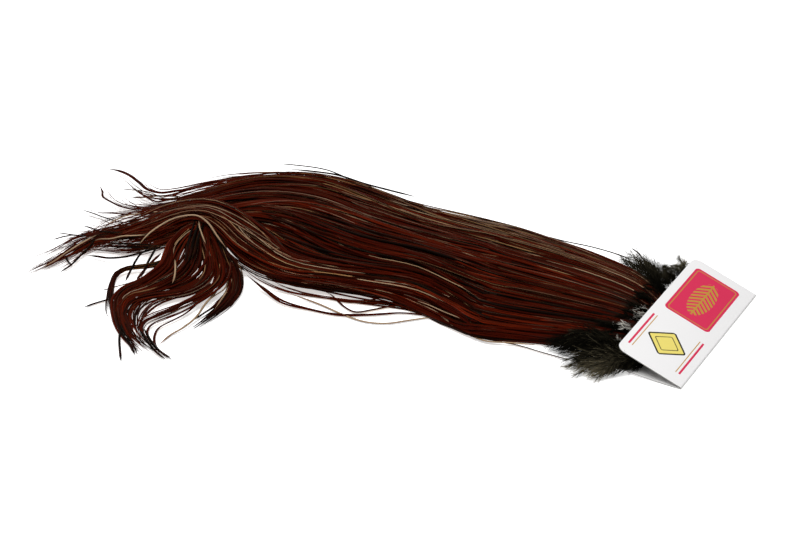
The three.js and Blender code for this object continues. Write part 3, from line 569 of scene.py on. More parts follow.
class CardSettings(bpy.types.PropertyGroup):
    length: length_property("Length", "Size along the fold", 0.127)
    depth: length_property("Depth", "Size of a panel from the fold to its free edge", 0.0475)
    thickness: length_property("Thickness", "Thickness of the card stock", 0.0005)
    corner: length_property("Corner radius", "Radius of the free corners", 0.006)
    fold_radius: length_property("Fold radius", "Outer radius of the fold", 0.0008)
    stock: colour_property("Stock", "Coated white card", "#E8E7E7")
    crimson: colour_property("Crimson", "Printed panel and rules", "#CF2A52")
    gold: colour_property("Gold", "Printed keyline, sprig and thin rules", "#B88A36")
    yellow: colour_property("Yellow", "Printed lozenge", "#E3D36F")
    ink: colour_property("Ink", "Outline of the lozenge", "#26241F")
    # Inside is the uncoated back's grey, darkened as painted shade inside the fold.
    inside: colour_property("Inside", "Uncoated back of the card", "#D0CFCE")
    # Edge is the cut board's grey, darkened as painted shade on the cut edges, and paints the shade along
    # the fold.
    edge: colour_property("Edge", "Cut edges and rubbed fold", "#8C8A88")


class SkinSettings(bpy.types.PropertyGroup):
    thickness: length_property("Thickness", "Thickness of the dried skin", 0.0014)
    height: length_property("Height", "Height of its underside above the table", 0.0012)
    corner: length_property("Corner radius", "Radius of its corners", 0.02)
    pale: colour_property("Pale", "Most of the skin", "#C9B28A")
    dark: colour_property("Dark", "Where it is thin", "#8F744C")


class HackleSettings(bpy.types.PropertyGroup):
    width: length_property("Width", "Width of a hackle as it lies folded", 0.0016)
    black: colour_property("Black", "Black hackles and tips", "#070706")
    dark: colour_property("Dark", "Dark hackles", "#120402")
    mahogany: colour_property("Mahogany", "Most hackles", "#350802")
    # Russet also paints the light through the hackles' thin tips.
    russet: colour_property("Russet", "Lightest hackles", "#541505")
    # Tan also paints the highlights along the hackles' edges.
    tan: colour_property("Tan", "Undersides of most hackles", "#96846E")
    amber: colour_property("Amber", "Undersides of dark hackles", "#80592F")
    web: colour_property("Web", "Dusky bases", "#14110E")


class DownSettings(bpy.types.PropertyGroup):
    radius: length_property("Radius", "Radius of a barb at its root", 0.00015)
    dark: colour_property("Dark", "Roots of the down", "#0B0A07")
    olive: colour_property("Olive", "Tips of the down", "#857C63")
    white: colour_property("White", "White down by the card", "#E8E4DA")


class StageSettings(bpy.types.PropertyGroup):
    lens: bpy.props.FloatProperty(name="Lens", description="Focal length in millimetres", default=103.5)
    target: bpy.props.FloatVectorProperty(
        name="Target", description="Point that the camera looks at", subtype="TRANSLATION", size=3,
        default=(-0.1815, 0.0835, 0.0),
    )
    distance: length_property("Distance", "From the camera to its target", 1.536)
    elevation: bpy.props.FloatProperty(
        name="Elevation", description="Angle of the camera above the table", subtype="ANGLE",
        default=math.radians(30),
    )
    floor: colour_property("Floor", "White table", "#FBFBFB")
    floor_glow: bpy.props.FloatProperty(
        name="Floor glow", description="Light from below the white table", default=0.55
    )
    sky: bpy.props.FloatProperty(name="Sky", description="Strength of the light from all round", default=0.3)
    softbox: bpy.props.FloatProperty(name="Softbox", description="Watts of the softbox", default=26)


class SaddleSettings(bpy.types.PropertyGroup):
    card: bpy.props.PointerProperty(type=CardSettings, name="Card", description="Header card")
    skin: bpy.props.PointerProperty(type=SkinSettings, name="Skin", description="Dried skin")
    hackles: bpy.props.PointerProperty(type=HackleSettings, name="Hackles", description="Long feathers")
    down: bpy.props.PointerProperty(type=DownSettings, name="Down", description="Fluff at the roots")
    stage: bpy.props.PointerProperty(type=StageSettings, name="Stage", description="Camera, floor and light")


def add_node(tree, kind, settings=None, values=None, links=None):
    """Adds a shader node with its settings, input values and links, the last two by input name or place.

    A link comes from a socket, or from a node, which means the first of its outputs that is in use.
    """
    node = tree.nodes.new("ShaderNode" + kind)
    for key, value in (settings or {}).items():
        setattr(node, key, value)
    for key, value in (values or {}).items():
        node.inputs[key].default_value = value
    for key, source in (links or {}).items():
        if isinstance(source, bpy.types.Node):
            source = next(socket for socket in source.outputs if socket.enabled)
        tree.links.new(source, node.inputs[key])
    return node


def new_material(name):
    """An empty node material and its tree."""
    material = bpy.data.materials.new(name)
    material.use_nodes = True
    material.node_tree.nodes.clear()
    return material, material.node_tree


def smooth(value, low, high):
    """0 below low, 1 above high, and a smooth step between."""
    share = np.clip((value - low) / (high - low), 0.0, 1.0)
    return share * share * (3 - 2 * share)


def from_card(along, out):
    """Row x and y of places along the card's fold and out from it, in millimetres."""
    turn = math.radians(CARD_TURN)
    x = along * math.cos(turn) - out * math.sin(turn)
    y = along * math.sin(turn) + out * math.cos(turn)
    return x, y


def to_card(x, y):
    """Places along the card's fold and out from it, of row x and y in millimetres."""
    turn = math.radians(CARD_TURN)
    return x * math.cos(turn) + y * math.sin(turn), y * math.cos(turn) - x * math.sin(turn)


def clear_of_card(points, card):
    """Keeps points that lie inside the folded card between its two panels, and all off the table."""
    along, out = to_card(points[..., 0], points[..., 1])
    length, depth, thickness = card.length / MM, card.depth / MM, card.thickness / MM
    inside = (np.abs(along) < length / 2 + CARD_GAP) & (np.abs(out) < depth / 2 + CARD_GAP)
    ceiling = (out + depth / 2) * math.tan(math.radians(FLAP_LIFT)) - CARD_GAP
    height = np.maximum(points[..., 2], np.where(inside, thickness + CARD_GAP, LOWEST / 2))
    under_flap = inside & (out < depth * (math.cos(math.radians(FLAP_LIFT)) - 0.5) + CARD_GAP)
    lowered = np.minimum(height, np.maximum(ceiling, thickness + CARD_GAP))
    points[..., 2] = np.where(under_flap, lowered, height)
    return points


def follow(points, shares):
    """Points on smooth curves through control points, at shares of each curve's length.

    points is (curves, controls, 3), shares is (curves, stations), and the result is (curves, stations, 3).
    """
    gaps = np.linalg.norm(np.diff(points, axis=1), axis=2)
    knots = np.concatenate([np.zeros((len(points), 1)), np.cumsum(gaps, axis=1)], axis=1)
    slopes = np.empty_like(points)
    slopes[:, 1:-1] = (points[:, 2:] - points[:, :-2]) / (knots[:, 2:] - knots[:, :-2])[..., None]
    slopes[:, 0] = (points[:, 1] - points[:, 0]) / gaps[:, :1]
    slopes[:, -1] = (points[:, -1] - points[:, -2]) / gaps[:, -1:]
    at = shares * knots[:, -1:]
    k = (knots[:, None, 1:-1] <= at[:, :, None]).sum(axis=2)
    row = np.arange(len(points))[:, None]
    step = gaps[row, k][..., None]
    u = (at - knots[row, k])[..., None] / step
    start = (1 + 2 * u) * (1 - u) ** 2 * points[row, k] + u * (1 - u) ** 2 * step * slopes[row, k]
    end = u * u * (3 - 2 * u) * points[row, k + 1] + u * u * (u - 1) * step * slopes[row, k + 1]
    return start + end


def lane_rows(lanes, under):
    """The body's surface along lanes, from the root under the flap through each row: (lanes, rows, 3)."""
    near = np.array([row[0] for row in BODY_ROWS], float)
    far = np.array([row[1] for row in BODY_ROWS], float)
    crown = np.array([row[2] for row in BODY_ROWS], float)
    edge = EDGE_HEIGHT[0] + (EDGE_HEIGHT[1] - EDGE_HEIGHT[0]) * lanes
    dome = np.sqrt(np.clip(1 - (2 * lanes - 1) ** 2, 0, 1))
    place = near + (far - near) * lanes[:, None, None]
    height = edge[:, None] + (crown - edge[:, None]) * dome[:, None]
    root_x, root_y = from_card(ROOT_ALONG[0] + (ROOT_ALONG[1] - ROOT_ALONG[0]) * lanes, ROOT_OUT)
    root = np.stack([root_x, root_y, np.full(len(lanes), ROOT_HEIGHT)], axis=1)
    rows = np.concatenate([place, height[..., None] * under], axis=2)
    return np.concatenate([root[:, None], rows], axis=1)


def fan_routes(bundle, shares):
    """Tip routes at shares of the way from a bundle's first route to its last: (shares, knots, 3)."""
    routes = bundle["routes"]
    lanes = np.linspace(*bundle["lanes"], len(routes))
    starts = lane_rows(lanes, bundle["under"])[:, bundle["rows"][1] - 1]
    at = np.linspace(0, 1, TIP_KNOTS + 1)[None]
    controls = [np.array([start, *route], float)[None] for start, route in zip(starts, routes)]
    knots = np.concatenate([follow(points, at) for points in controls])
    place = np.clip(shares, 0, 1) * (len(routes) - 1)
    left = np.minimum(place.astype(int), len(routes) - 2)
    blend = (smooth(place - left, *ROUTE_PULL) + shares - np.clip(shares, 0, 1))[:, None, None]
    return (knots[left] + (knots[left + 1] - knots[left]) * blend)[:, 1:]


def waves(rng, member, stations, low, high):
    """Smooth random swings along each feather, the same for the feathers that are members of one group."""
    groups = member.max() + 1
    turns = rng.uniform(low, high, groups)[member]
    phase = rng.random(groups)[member]
    return np.sin(2 * math.pi * (turns[:, None] * stations + phase[:, None]))


def frames(lines, up):
    """Side and normal directions along center lines, square to them, with the normal towards up."""
    tangent = np.gradient(lines, axis=1)
    tangent /= np.linalg.norm(tangent, axis=2, keepdims=True)
    side = np.cross(up, tangent)
    side /= np.linalg.norm(side, axis=2, keepdims=True)
    return side, np.cross(tangent, side)


def strand_mesh(name, rings, attributes):
    """One mesh of closed strands from rings of points in millimetres: (strands, stations, corners, 3).

    attributes maps a name to values that spread over strands, stations and corners.
    """
    strands, stations, corners, _ = rings.shape
    rings[..., 2] = np.maximum(rings[..., 2], TABLE_GAP)
    first = np.arange(strands)[:, None, None] * stations * corners
    here = first + np.arange(stations - 1)[:, None] * corners + np.arange(corners)
    beside = first + np.arange(stations - 1)[:, None] * corners + (np.arange(corners) + 1) % corners
    sides = np.stack([here, beside, beside + corners, here + corners], axis=-1).reshape(-1, 4)
    root_caps = (first[:, 0] + np.arange(corners)[::-1]).reshape(-1)
    tip_caps = (first[:, 0] + (stations - 1) * corners + np.arange(corners)).reshape(-1)
    loops = np.concatenate([sides.reshape(-1), root_caps, tip_caps])
    side_starts = np.arange(len(sides)) * 4
    starts = np.concatenate([side_starts, sides.size + np.arange(2 * strands) * corners])
    mesh = bpy.data.meshes.new(name)
    mesh.vertices.add(strands * stations * corners)
    mesh.vertices.foreach_set("co", (rings * MM).astype(np.float32).ravel())
    mesh.loops.add(len(loops))
    mesh.loops.foreach_set("vertex_index", loops.astype(np.int32))
    mesh.polygons.add(len(starts))
    mesh.polygons.foreach_set("loop_start", starts.astype(np.int32))
    for key, values in attributes.items():
        spread = np.broadcast_to(values, (strands, stations, corners)).astype(np.float32)
        mesh.attributes.new(key, "FLOAT", "POINT").data.foreach_set("value", spread.ravel())
    mesh.update(calc_edges=True)
    mesh.shade_smooth()
    return mesh


def add_piece(name, mesh, materials, node):
    """Puts a finished mesh in the scene as a piece that stands for a CAD node."""
    piece = bpy.data.objects.new(name, mesh)
    bpy.context.scene.collection.objects.link(piece)
    finish_piece(piece, materials, node)


def finish_piece(piece, materials, node):
    """Gives a piece its materials, puts it on the root body, and hides the CAD node that it stands for."""
    piece.data.materials.clear()
    for material in materials:
        piece.data.materials.append(material)
    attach(piece, "root")
    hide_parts(node)


def feather_mesh(name, lines, up, roll, width, tint, black_tip, web):
    """Flat tapering feathers along center lines in millimetres, one mesh.

    Each has four corners round: an edge, the top of the shaft, the other edge and the underside.
    """
    run = np.cumsum(np.linalg.norm(np.diff(lines, axis=1, prepend=lines[:, :1]), axis=2), axis=1)
    share = run / run[:, -1:]
    side, normal = frames(lines, up)
    roll = roll[..., None]
    across = np.cos(roll) * side + np.sin(roll) * normal
    upward = np.cos(roll) * normal - np.sin(roll) * side
    taper = ROOT_WIDTH + ROOT_WIDENING * smooth(share, 0.0, FULL_WIDTH_AT)
    taper *= 1 - TIP_NARROWING * smooth(share, *TIP_ALONG)
    half = (width[:, None] / 2 * taper)[..., None]
    thick = np.minimum(SHAFT_THICKNESS + VANE_THICKNESS * half, FEATHER_THICKEST)
    thick *= (1 - TIP_THINNING * smooth(share, *THIN_ALONG))[..., None]
    rings = np.stack([
        lines + across * half, lines + upward * thick, lines - across * half, lines - upward * thick,
    ], axis=2)
    attributes = {
        "tint": tint[:, None, None],
        "share": share[..., None],
        "run": run[..., None],
        "side": np.array([0.5, 0.0, 0.5, 1.0]),
        "black_tip": black_tip[:, None, None],
        "web": web[:, None, None],
    }
    return strand_mesh(name, rings, attributes)


def hackle_bundle(bundle, card, width, rng):
    """All the feathers of one bundle as a mesh."""
    count = bundle["feathers"]
    if bundle["even"]:
        clumps = count
        member = np.arange(count)
    else:
        clumps = max(FEWEST_CLUMPS, count // FEATHERS_PER_CLUMP)
        member = rng.integers(0, clumps, count)
    clump_share = ((np.arange(clumps) + rng.random(clumps)) / clumps) ** bundle["lean"]
    share = np.clip(clump_share[member] + rng.normal(0, CLUMP_SPREAD, count), *BUNDLE_SHARES)
    lane = np.clip(bundle["lanes"][0] + (bundle["lanes"][1] - bundle["lanes"][0]) * share, 0, 1)
    turned = rng.random(count) < bundle["pale"]
    depth = rng.random(count) ** DEPTH_POWER * np.where(turned, TURNED_DEPTH, 1.0)

    body = lane_rows(lane, bundle["under"])[:, slice(*bundle["rows"])]
    controls = np.concatenate([body, fan_routes(bundle, share)], axis=1)
    sink = DEEPEST * depth[:, None]
    controls[..., 2] = LOWEST + (controls[..., 2] - LOWEST) * (1 - sink)

    reach = FULL_REACH - bundle["stagger"] * rng.random(count) ** bundle["ends"]
    x = np.linspace(0, 1, STATIONS)
    stations = (1 - (1 - x) ** STATION_CROWDING)[None] * reach[:, None]
    lines = follow(controls, stations)

    loose = smooth(stations, *FREE_ALONG)
    single = np.arange(count)
    sway = CLUMP_SWAY * waves(rng, member, stations, *CLUMP_SWINGS) * loose
    sway += FEATHER_SWAY * waves(rng, single, stations, *FEATHER_SWINGS) * loose
    sway *= bundle["sway"]
    splay = bundle["splay"] * (rng.normal(0, 1.0, clumps)[member] + rng.normal(0, FEATHER_SPLAY, count))
    sway += splay[:, None] * stations**SPLAY_POWER
    lift = FEATHER_LIFT * waves(rng, single, stations, *LIFT_SWINGS) * loose
    lift += rng.normal(0, CLUMP_LIFT, clumps)[member][:, None] * loose
    side, _ = frames(lines, UP)
    lines = lines + side * sway[..., None]
    lift *= np.clip(lines[..., 2] / FULL_LIFT_HEIGHT, LEAST_LIFT, 1)
    lines[..., 2] = np.maximum(lines[..., 2] + lift, LOWEST)
    lines = clear_of_card(lines, card)

    tilt = math.radians(EDGE_TILT) * (1 - 2 * lane)[:, None] * (1 - smooth(stations, *LEVEL_ALONG))
    side, normal = frames(lines, UP)
    up = normal * np.cos(tilt)[..., None] + side * np.sin(tilt)[..., None]
    steady = 1 - smooth(stations, *STEADY_ALONG)
    roll = rng.normal(0, ROLL_SPREAD, (count, 1))
    roll = roll + TWIST * waves(rng, single, stations, *TWIST_TURNS) * steady
    middle = rng.uniform(*bundle["pale_at"], (count, 1))
    half = rng.uniform(*PALE_HALF, (count, 1))
    flip = smooth(stations, middle - half, middle - half + PALE_TURN)
    flip -= smooth(stations, middle + half - PALE_TURN, middle + half)
    roll += math.pi * flip * turned[:, None]
    widths = width * bundle["wide"] * rng.uniform(*WIDTH_RANGE, count) * np.where(turned, PALE_WIDTH, 1.0)
    tint = rng.uniform(*bundle["tints"], count)
    black = (rng.random(count) < bundle["black_tips"]) * rng.uniform(*BLACK_RANGE, count)
    web = WEB_LEAST + WEB_RANGE * rng.random(count) ** WEB_POWER * (1 - WEB_FAR_LOSS * lane)
    return feather_mesh(bundle["name"], lines, up, roll, widths, tint, black, web)


def hackle_material(hackles):
    """Rooster hackle: glossy barbs, so a lengthwise sheen over dark red-brown, with a pale underside and
    painted highlights.
    """
    material, tree = new_material(HACKLE_NAME)
    tint, share, run, side, black_tip, web = (
        add_node(tree, "Attribute", {"attribute_name": name}).outputs["Fac"]
        for name in ("tint", "share", "run", "side", "black_tip", "web")
    )
    top = add_node(tree, "ValToRGB", links={"Fac": tint})
    stops = (
        (0.0, hackles.black), (0.11, hackles.black), (0.14, hackles.dark),
        (0.4, hackles.mahogany), (0.8, hackles.mahogany), (1.0, hackles.russet),
    )
    while len(top.color_ramp.elements) < len(stops):
        top.color_ramp.elements.new(1.0)
    for element, (position, colour) in zip(top.color_ramp.elements, stops):
        element.position = position
        element.color = colour
    # Barbs lie 0.25 mm apart, too fine to show: they are drawn as streaks about 20 mm long along the shaft.
    place = add_node(tree, "CombineXYZ", links={"X": run, "Y": side, "Z": tint})
    streak_scale = (1 / STREAK_LENGTH, STREAKS_ACROSS, STREAK_CHANGE)
    streak_place = add_node(tree, "VectorMath", MULTIPLY, {1: streak_scale}, {0: place})
    barbs = add_node(tree, "TexNoise", values={"Scale": 1.0, "Detail": 3.0}, links={"Vector": streak_place})
    streak = add_node(
        tree, "MapRange", values={"From Min": 0.32, "From Max": 0.68, "To Min": 0.35, "To Max": 1.7},
        links={"Value": barbs},
    )
    top_streaked = add_node(tree, "VectorMath", SCALE, links={0: top, "Scale": streak})
    # The shaft is a dark line along the middle of the top.
    shaft = add_node(
        tree, "MapRange", values={"From Min": 0.05, "From Max": 0.22, "To Min": 0.35, "To Max": 0.0},
        links={"Value": side},
    )
    with_shaft = add_node(
        tree, "Mix", COLOURS, {MIX_SECOND: hackles.dark}, {MIX_SHARE: shaft, MIX_FIRST: top_streaked}
    )
    # Along some stretches a thin tan edge is painted highlight, where the barbs' ends would catch the light.
    stretch_scale = (1 / HIGHLIGHT_EDGE_LENGTH, 0.0, HIGHLIGHT_EDGE_CHANGE)
    stretch_place = add_node(tree, "VectorMath", MULTIPLY, {1: stretch_scale}, {0: place})
    stretches = add_node(
        tree, "TexNoise", values={"Scale": 1.0, "Detail": 1.0}, links={"Vector": stretch_place}
    )
    on_stretch = add_node(
        tree, "MapRange", values={"From Min": 0.57, "From Max": 0.7, "To Max": 0.3},
        links={"Value": stretches},
    )
    at_edge = add_node(tree, "MapRange", values={"From Min": 0.3, "From Max": 0.46}, links={"Value": side})
    highlight_share = add_node(tree, "Math", MULTIPLY, links={0: on_stretch, 1: at_edge})
    with_highlight = add_node(
        tree, "Mix", COLOURS, {MIX_SECOND: hackles.tan}, {MIX_SHARE: highlight_share, MIX_FIRST: with_shaft}
    )
    under = add_node(tree, "MapRange", values={"From Min": 0.5, "From Max": 0.66}, links={"Value": side})
    under_colour = add_node(
        tree, "Mix", COLOURS, {MIX_FIRST: hackles.amber, MIX_SECOND: hackles.tan}, {MIX_SHARE: tint}
    )
    under_streaked = add_node(tree, "VectorMath", SCALE, links={0: under_colour, "Scale": streak})
    both_sides = add_node(
        tree, "Mix", COLOURS, links={MIX_SHARE: under, MIX_FIRST: with_highlight, MIX_SECOND: under_streaked}
    )
    # Towards the tip the barbs thin out: the light through them is painted as a russet glow.
    thin = add_node(
        tree, "MapRange", values={"From Min": 0.65, "From Max": 1.0, "To Max": 0.5}, links={"Value": share}
    )
    with_tip_glow = add_node(
        tree, "Mix", COLOURS, {MIX_SECOND: hackles.russet}, {MIX_SHARE: thin, MIX_FIRST: both_sides}
    )
    tip = add_node(tree, "MapRange", SMOOTH_STEP, {"From Min": 0.66, "From Max": 0.95}, {"Value": share})
    tip_share = add_node(tree, "Math", MULTIPLY, links={0: tip, 1: black_tip})
    tipped = add_node(
        tree, "Mix", COLOURS, {MIX_SECOND: hackles.black}, {MIX_SHARE: tip_share, MIX_FIRST: with_tip_glow}
    )
    # The webby base of a hackle is dusky.
    past_web = add_node(tree, "Math", SUBTRACT, links={0: run, 1: web})
    base = add_node(
        tree, "MapRange", SMOOTH_STEP,
        {"From Min": -WEB_BLUR, "From Max": WEB_BLUR, "To Min": 0.95, "To Max": 0.0}, {"Value": past_web},
    )
    based = add_node(tree, "Mix", COLOURS, {MIX_SECOND: hackles.web}, {MIX_SHARE: base, MIX_FIRST: tipped})
    bump = add_node(tree, "Bump", values={"Strength": 0.25, "Distance": 0.0002}, links={"Height": barbs})
    shader = add_node(
        tree, "BsdfPrincipled",
        values={
            "Roughness": 0.42, "Specular IOR Level": 0.045, "Specular Tint": linear("#E07850"),
            "Sheen Weight": 0.04, "Sheen Roughness": 0.35, "Sheen Tint": linear("#D09860"),
        },
        links={"Base Color": based, "Normal": bump},
    )
    add_node(tree, "OutputMaterial", links={"Surface": shader})
    return material


def down_clump(clump, card, radius, rng):
    """A clump of plumes, each a bent shaft with soft barbs all round, as a mesh."""
    roots = np.array(clump["roots"], float)
    tips = np.array(clump["tips"], float)
    count, barbs = clump["plumes"], clump["barbs"]
    pick = np.arange(count) % len(tips)
    root = roots[pick * len(roots) // len(tips)] + rng.normal(0, ROOT_SPREAD, (count, 3)) * ROOT_FLATTENING
    tip = tips[pick, :3] + rng.normal(0, clump["spread"], (count, 3)) * TIP_FLATTENING
    tip = root + (tip - root) * rng.uniform(*PLUME_REACH, (count, 1))
    middle = (root + tip) / 2 + rng.normal(0, MIDDLE_SPREAD, (count, 3)) + (0, 0, clump["lift"])
    shafts = np.stack([root, middle, tip], axis=1)
    length = np.linalg.norm(tip - root, axis=1)

    u = rng.uniform(*BARB_ALONG, (count, barbs))
    at = follow(shafts, u)
    ahead = follow(shafts, np.minimum(u + SHAFT_STEP, 1.0)) - follow(shafts, np.minimum(u, 1.0 - SHAFT_STEP))
    ahead /= np.linalg.norm(ahead, axis=2, keepdims=True)
    level = np.cross(UP, ahead)
    level /= np.linalg.norm(level, axis=2, keepdims=True)
    above = np.cross(ahead, level)
    spin = rng.uniform(0, 2 * math.pi, (count, barbs, 1))
    outward = level * np.cos(spin) + above * np.sin(spin) * BARB_FLATTENING
    slant = np.radians(rng.uniform(*clump["slant"], (count, barbs, 1)))
    slant = slant * (ROOT_SLANT - SLANT_LOSS * u[..., None])
    heading = ahead * np.cos(slant) + outward * np.sin(slant)
    fullness = 0.5 + 0.5 * np.sin(math.pi * u**LONGEST_POWER)
    long = BARB_LENGTH * length[:, None] * fullness * rng.uniform(*BARB_LENGTHS, (count, barbs))

    t = np.linspace(0, 1, BARB_STATIONS)
    t_column = t[:, None]
    lines = at[:, :, None] + long[..., None, None] * (
        heading[:, :, None] * t_column + ahead[:, :, None] * BARB_BEND * t_column**2
        + rng.normal(0, BARB_STRAY, (count, barbs, 1, 3)) * t_column**2
    )
    ripple = np.sin(t * RIPPLE_TURN + rng.uniform(*RIPPLE_STARTS, (count, barbs, 1)))
    lines = lines + ripple[..., None] * RIPPLE_SIZE * t_column * outward[:, :, None]
    lines = clear_of_card(lines.reshape(-1, len(t), 3), card)
    tint = (tips[pick, 3] * rng.uniform(*PLUME_TINTS, count))[:, None]
    tint = tint * rng.uniform(*BARB_TINTS, (count, barbs))
    tint = (tint * (ROOT_TINT + TINT_GAIN * u)).ravel()

    side, normal = frames(lines, BARB_UP)
    thin = (radius * clump["fine"] * (1 - BARB_THINNING * t))[None, :, None]
    angle = 2 * math.pi * np.arange(BARB_CORNERS) / BARB_CORNERS
    rings = np.stack([lines + (side * math.cos(a) + normal * math.sin(a)) * thin for a in angle], axis=2)
    attributes = {"tint": tint[:, None, None], "share": t[None, :, None], "white": clump["white"]}
    return strand_mesh(clump["name"], rings, attributes)


def down_material(down):
    """Rooster down: soft dull barbs without hooks, near black at the root and olive grey where they fray."""
    material, tree = new_material("soft_rooster_down")
    tint, share, white = (
        add_node(tree, "Attribute", {"attribute_name": name}).outputs["Fac"]
        for name in ("tint", "share", "white")
    )
    along = add_node(tree, "Math", MULTIPLY, links={0: tint, 1: share})
    light = add_node(tree, "Math", {"operation": "POWER"}, {1: 2.0}, {0: along})
    colour = add_node(
        tree, "Mix", COLOURS, {MIX_FIRST: down.dark, MIX_SECOND: down.olive}, {MIX_SHARE: light}
    )
    # White barbs are dusky at their roots.
    past_root = add_node(tree, "MapRange", values={"From Max": 0.45, "To Min": 0.1}, links={"Value": along})
    white_share = add_node(tree, "Math", MULTIPLY, links={0: white, 1: past_root})
    either = add_node(
        tree, "Mix", COLOURS, {MIX_SECOND: down.white}, {MIX_SHARE: white_share, MIX_FIRST: colour}
    )
    shader = add_node(
        tree, "BsdfPrincipled", values={"Roughness": 0.9, "Specular IOR Level": 0.0},
        links={"Base Color": either},
    )
    add_node(tree, "OutputMaterial", links={"Surface": shader})
    return material


def board_material(name, colour):
    """Uncoated paperboard, inside the card or at its cut edges: dull, with soft mottling from its fibres,
    its grey partly painted shade.
    """
    material, tree = new_material(name)
    place = add_node(tree, "TexCoord").outputs["Object"]
    # The fibres are finer than the render shows: they are drawn 2 mm across.
    fibres = add_node(
        tree, "TexNoise", values={"Scale": 1 / (FIBRE_SIZE * MM), "Detail": 3.0}, links={"Vector": place}
    )
    mottle = add_node(tree, "MapRange", values={"To Min": 0.94, "To Max": 1.06}, links={"Value": fibres})
    mottled = add_node(tree, "VectorMath", SCALE, {0: colour[:3]}, {"Scale": mottle})
    shader = add_node(
        tree, "BsdfPrincipled", values={"Roughness": 0.8, "Specular IOR Level": 0.2},
        links={"Base Color": mottled},
    )
    add_node(tree, "OutputMaterial", links={"Surface": shader})
    return material


def card_material(card):
    """Coated board, offset printed: flat clean inks under a soft even sheen, with grey painted shade at the
    fold.
    """
    material, tree = new_material("printed_coated_card")
    # The UV map counts metres along the unfolded card: the print counts millimetres.
    flat = add_node(tree, "UVMap", {"uv_map": "flat"})
    place = add_node(tree, "VectorMath", SCALE, {"Scale": 1 / MM}, {0: flat})
    colour = add_node(tree, "RGB")
    colour.outputs[0].default_value = card.stock
    for along, up, half_along, half_up, corner, turn, line, ink in PRINT:
        from_center = add_node(tree, "VectorMath", SUBTRACT, {1: (along, up, 0)}, {0: place})
        turned = add_node(
            tree, "VectorRotate", {"rotation_type": "Z_AXIS"}, {"Angle": math.radians(turn)},
            {"Vector": from_center},
        )
        folded = add_node(tree, "VectorMath", ABSOLUTE, links={0: turned})
        straight = (half_along - corner, half_up - corner, 0)
        beyond = add_node(tree, "VectorMath", SUBTRACT, {1: straight}, {0: folded})
        outside = add_node(tree, "VectorMath", MAXIMUM, links={0: beyond})
        reach = add_node(tree, "VectorMath", LENGTH, links={0: outside})
        test = {"operation": "COMPARE"} if line else LESS_THAN
        mask = add_node(tree, "Math", test, {1: corner, 2: line}, {0: reach})
        colour = add_node(
            tree, "Mix", COLOURS, {MIX_SECOND: getattr(card, ink)}, {MIX_SHARE: mask, MIX_FIRST: colour}
        )
    # The sprig is an oval cut into leaves that slant back from its middle.
    from_center = add_node(tree, "VectorMath", SUBTRACT, {1: (*SPRIG_CENTER, 0)}, {0: place})
    oval = add_node(tree, "VectorMath", {"operation": "DIVIDE"}, {1: (*SPRIG_HALF, 1)}, {0: from_center})
    reach = add_node(tree, "VectorMath", LENGTH, links={0: oval})
    in_oval = add_node(tree, "Math", LESS_THAN, {1: 1.0}, {0: reach})
    parts = add_node(tree, "SeparateXYZ", links={0: from_center})
    out = add_node(tree, "Math", ABSOLUTE, links={0: parts.outputs["Y"]})
    slanted = add_node(
        tree, "Math", {"operation": "MULTIPLY_ADD"}, {1: SPRIG_SLANT}, {0: out, 2: parts.outputs["X"]}
    )
    spaced = add_node(tree, "Math", {"operation": "FLOORED_MODULO"}, {1: SPRIG_SPACING}, {0: slanted})
    on_leaf = add_node(tree, "Math", LESS_THAN, {1: SPRIG_LEAF}, {0: spaced})
    on_stem = add_node(tree, "Math", LESS_THAN, {1: SPRIG_STEM}, {0: out})
    leaf_or_stem = add_node(tree, "Math", MAXIMUM, links={0: on_leaf, 1: on_stem})
    mask = add_node(tree, "Math", MULTIPLY, links={0: leaf_or_stem, 1: in_oval})
    colour = add_node(tree, "Mix", COLOURS, {MIX_SECOND: card.gold}, {MIX_SHARE: mask, MIX_FIRST: colour})
    # The fold lies just below the flap on the flat map, and shade is painted in grey towards it.
    parts = add_node(tree, "SeparateXYZ", links={0: place})
    shaded = add_node(
        tree, "MapRange", SMOOTH_STEP,
        {"From Min": FOLD_SHADE_END, "From Max": FOLD_SHADE_DARKEST, "To Min": 0.0, "To Max": 0.9},
        {"Value": parts.outputs["Y"]},
    )
    colour = add_node(tree, "Mix", COLOURS, {MIX_SECOND: card.edge}, {MIX_SHARE: shaded, MIX_FIRST: colour})
    shader = add_node(
        tree, "BsdfPrincipled", values={"Roughness": 0.45, "Specular IOR Level": 0.3},
        links={"Base Color": colour},
    )
    add_node(tree, "OutputMaterial", links={"Surface": shader})
    return material


def skin_material(skin):
    """Dried bird hide: a dull cream parchment, a little darker where it is thin."""
    material, tree = new_material("dried_hide")
    place = add_node(tree, "TexCoord").outputs["Object"]
    blotches = add_node(
        tree, "TexNoise", values={"Scale": 1 / (BLOTCH_SIZE * MM), "Detail": 4.0}, links={"Vector": place}
    )
    colour = add_node(
        tree, "Mix", COLOURS, {MIX_FIRST: skin.pale, MIX_SECOND: skin.dark}, {MIX_SHARE: blotches}
    )
    shader = add_node(
        tree, "BsdfPrincipled", values={"Roughness": 0.6, "Specular IOR Level": 0.3},
        links={"Base Color": colour},
    )
    add_node(tree, "OutputMaterial", links={"Surface": shader})
    return material


def start_plane(name, length, depth, center):
    """A flat sheet of a given size in edit mode, with nothing else selected."""
    bpy.ops.object.select_all(action="DESELECT")
    bpy.ops.mesh.primitive_plane_add(size=1)
    bpy.context.object.name = name
    bpy.context.object.data.name = name
    bpy.ops.object.mode_set(mode="EDIT")
    bpy.ops.transform.resize(value=(length, depth, 1))
    bpy.ops.transform.translate(value=(*center, 0))
    return bpy.context.object


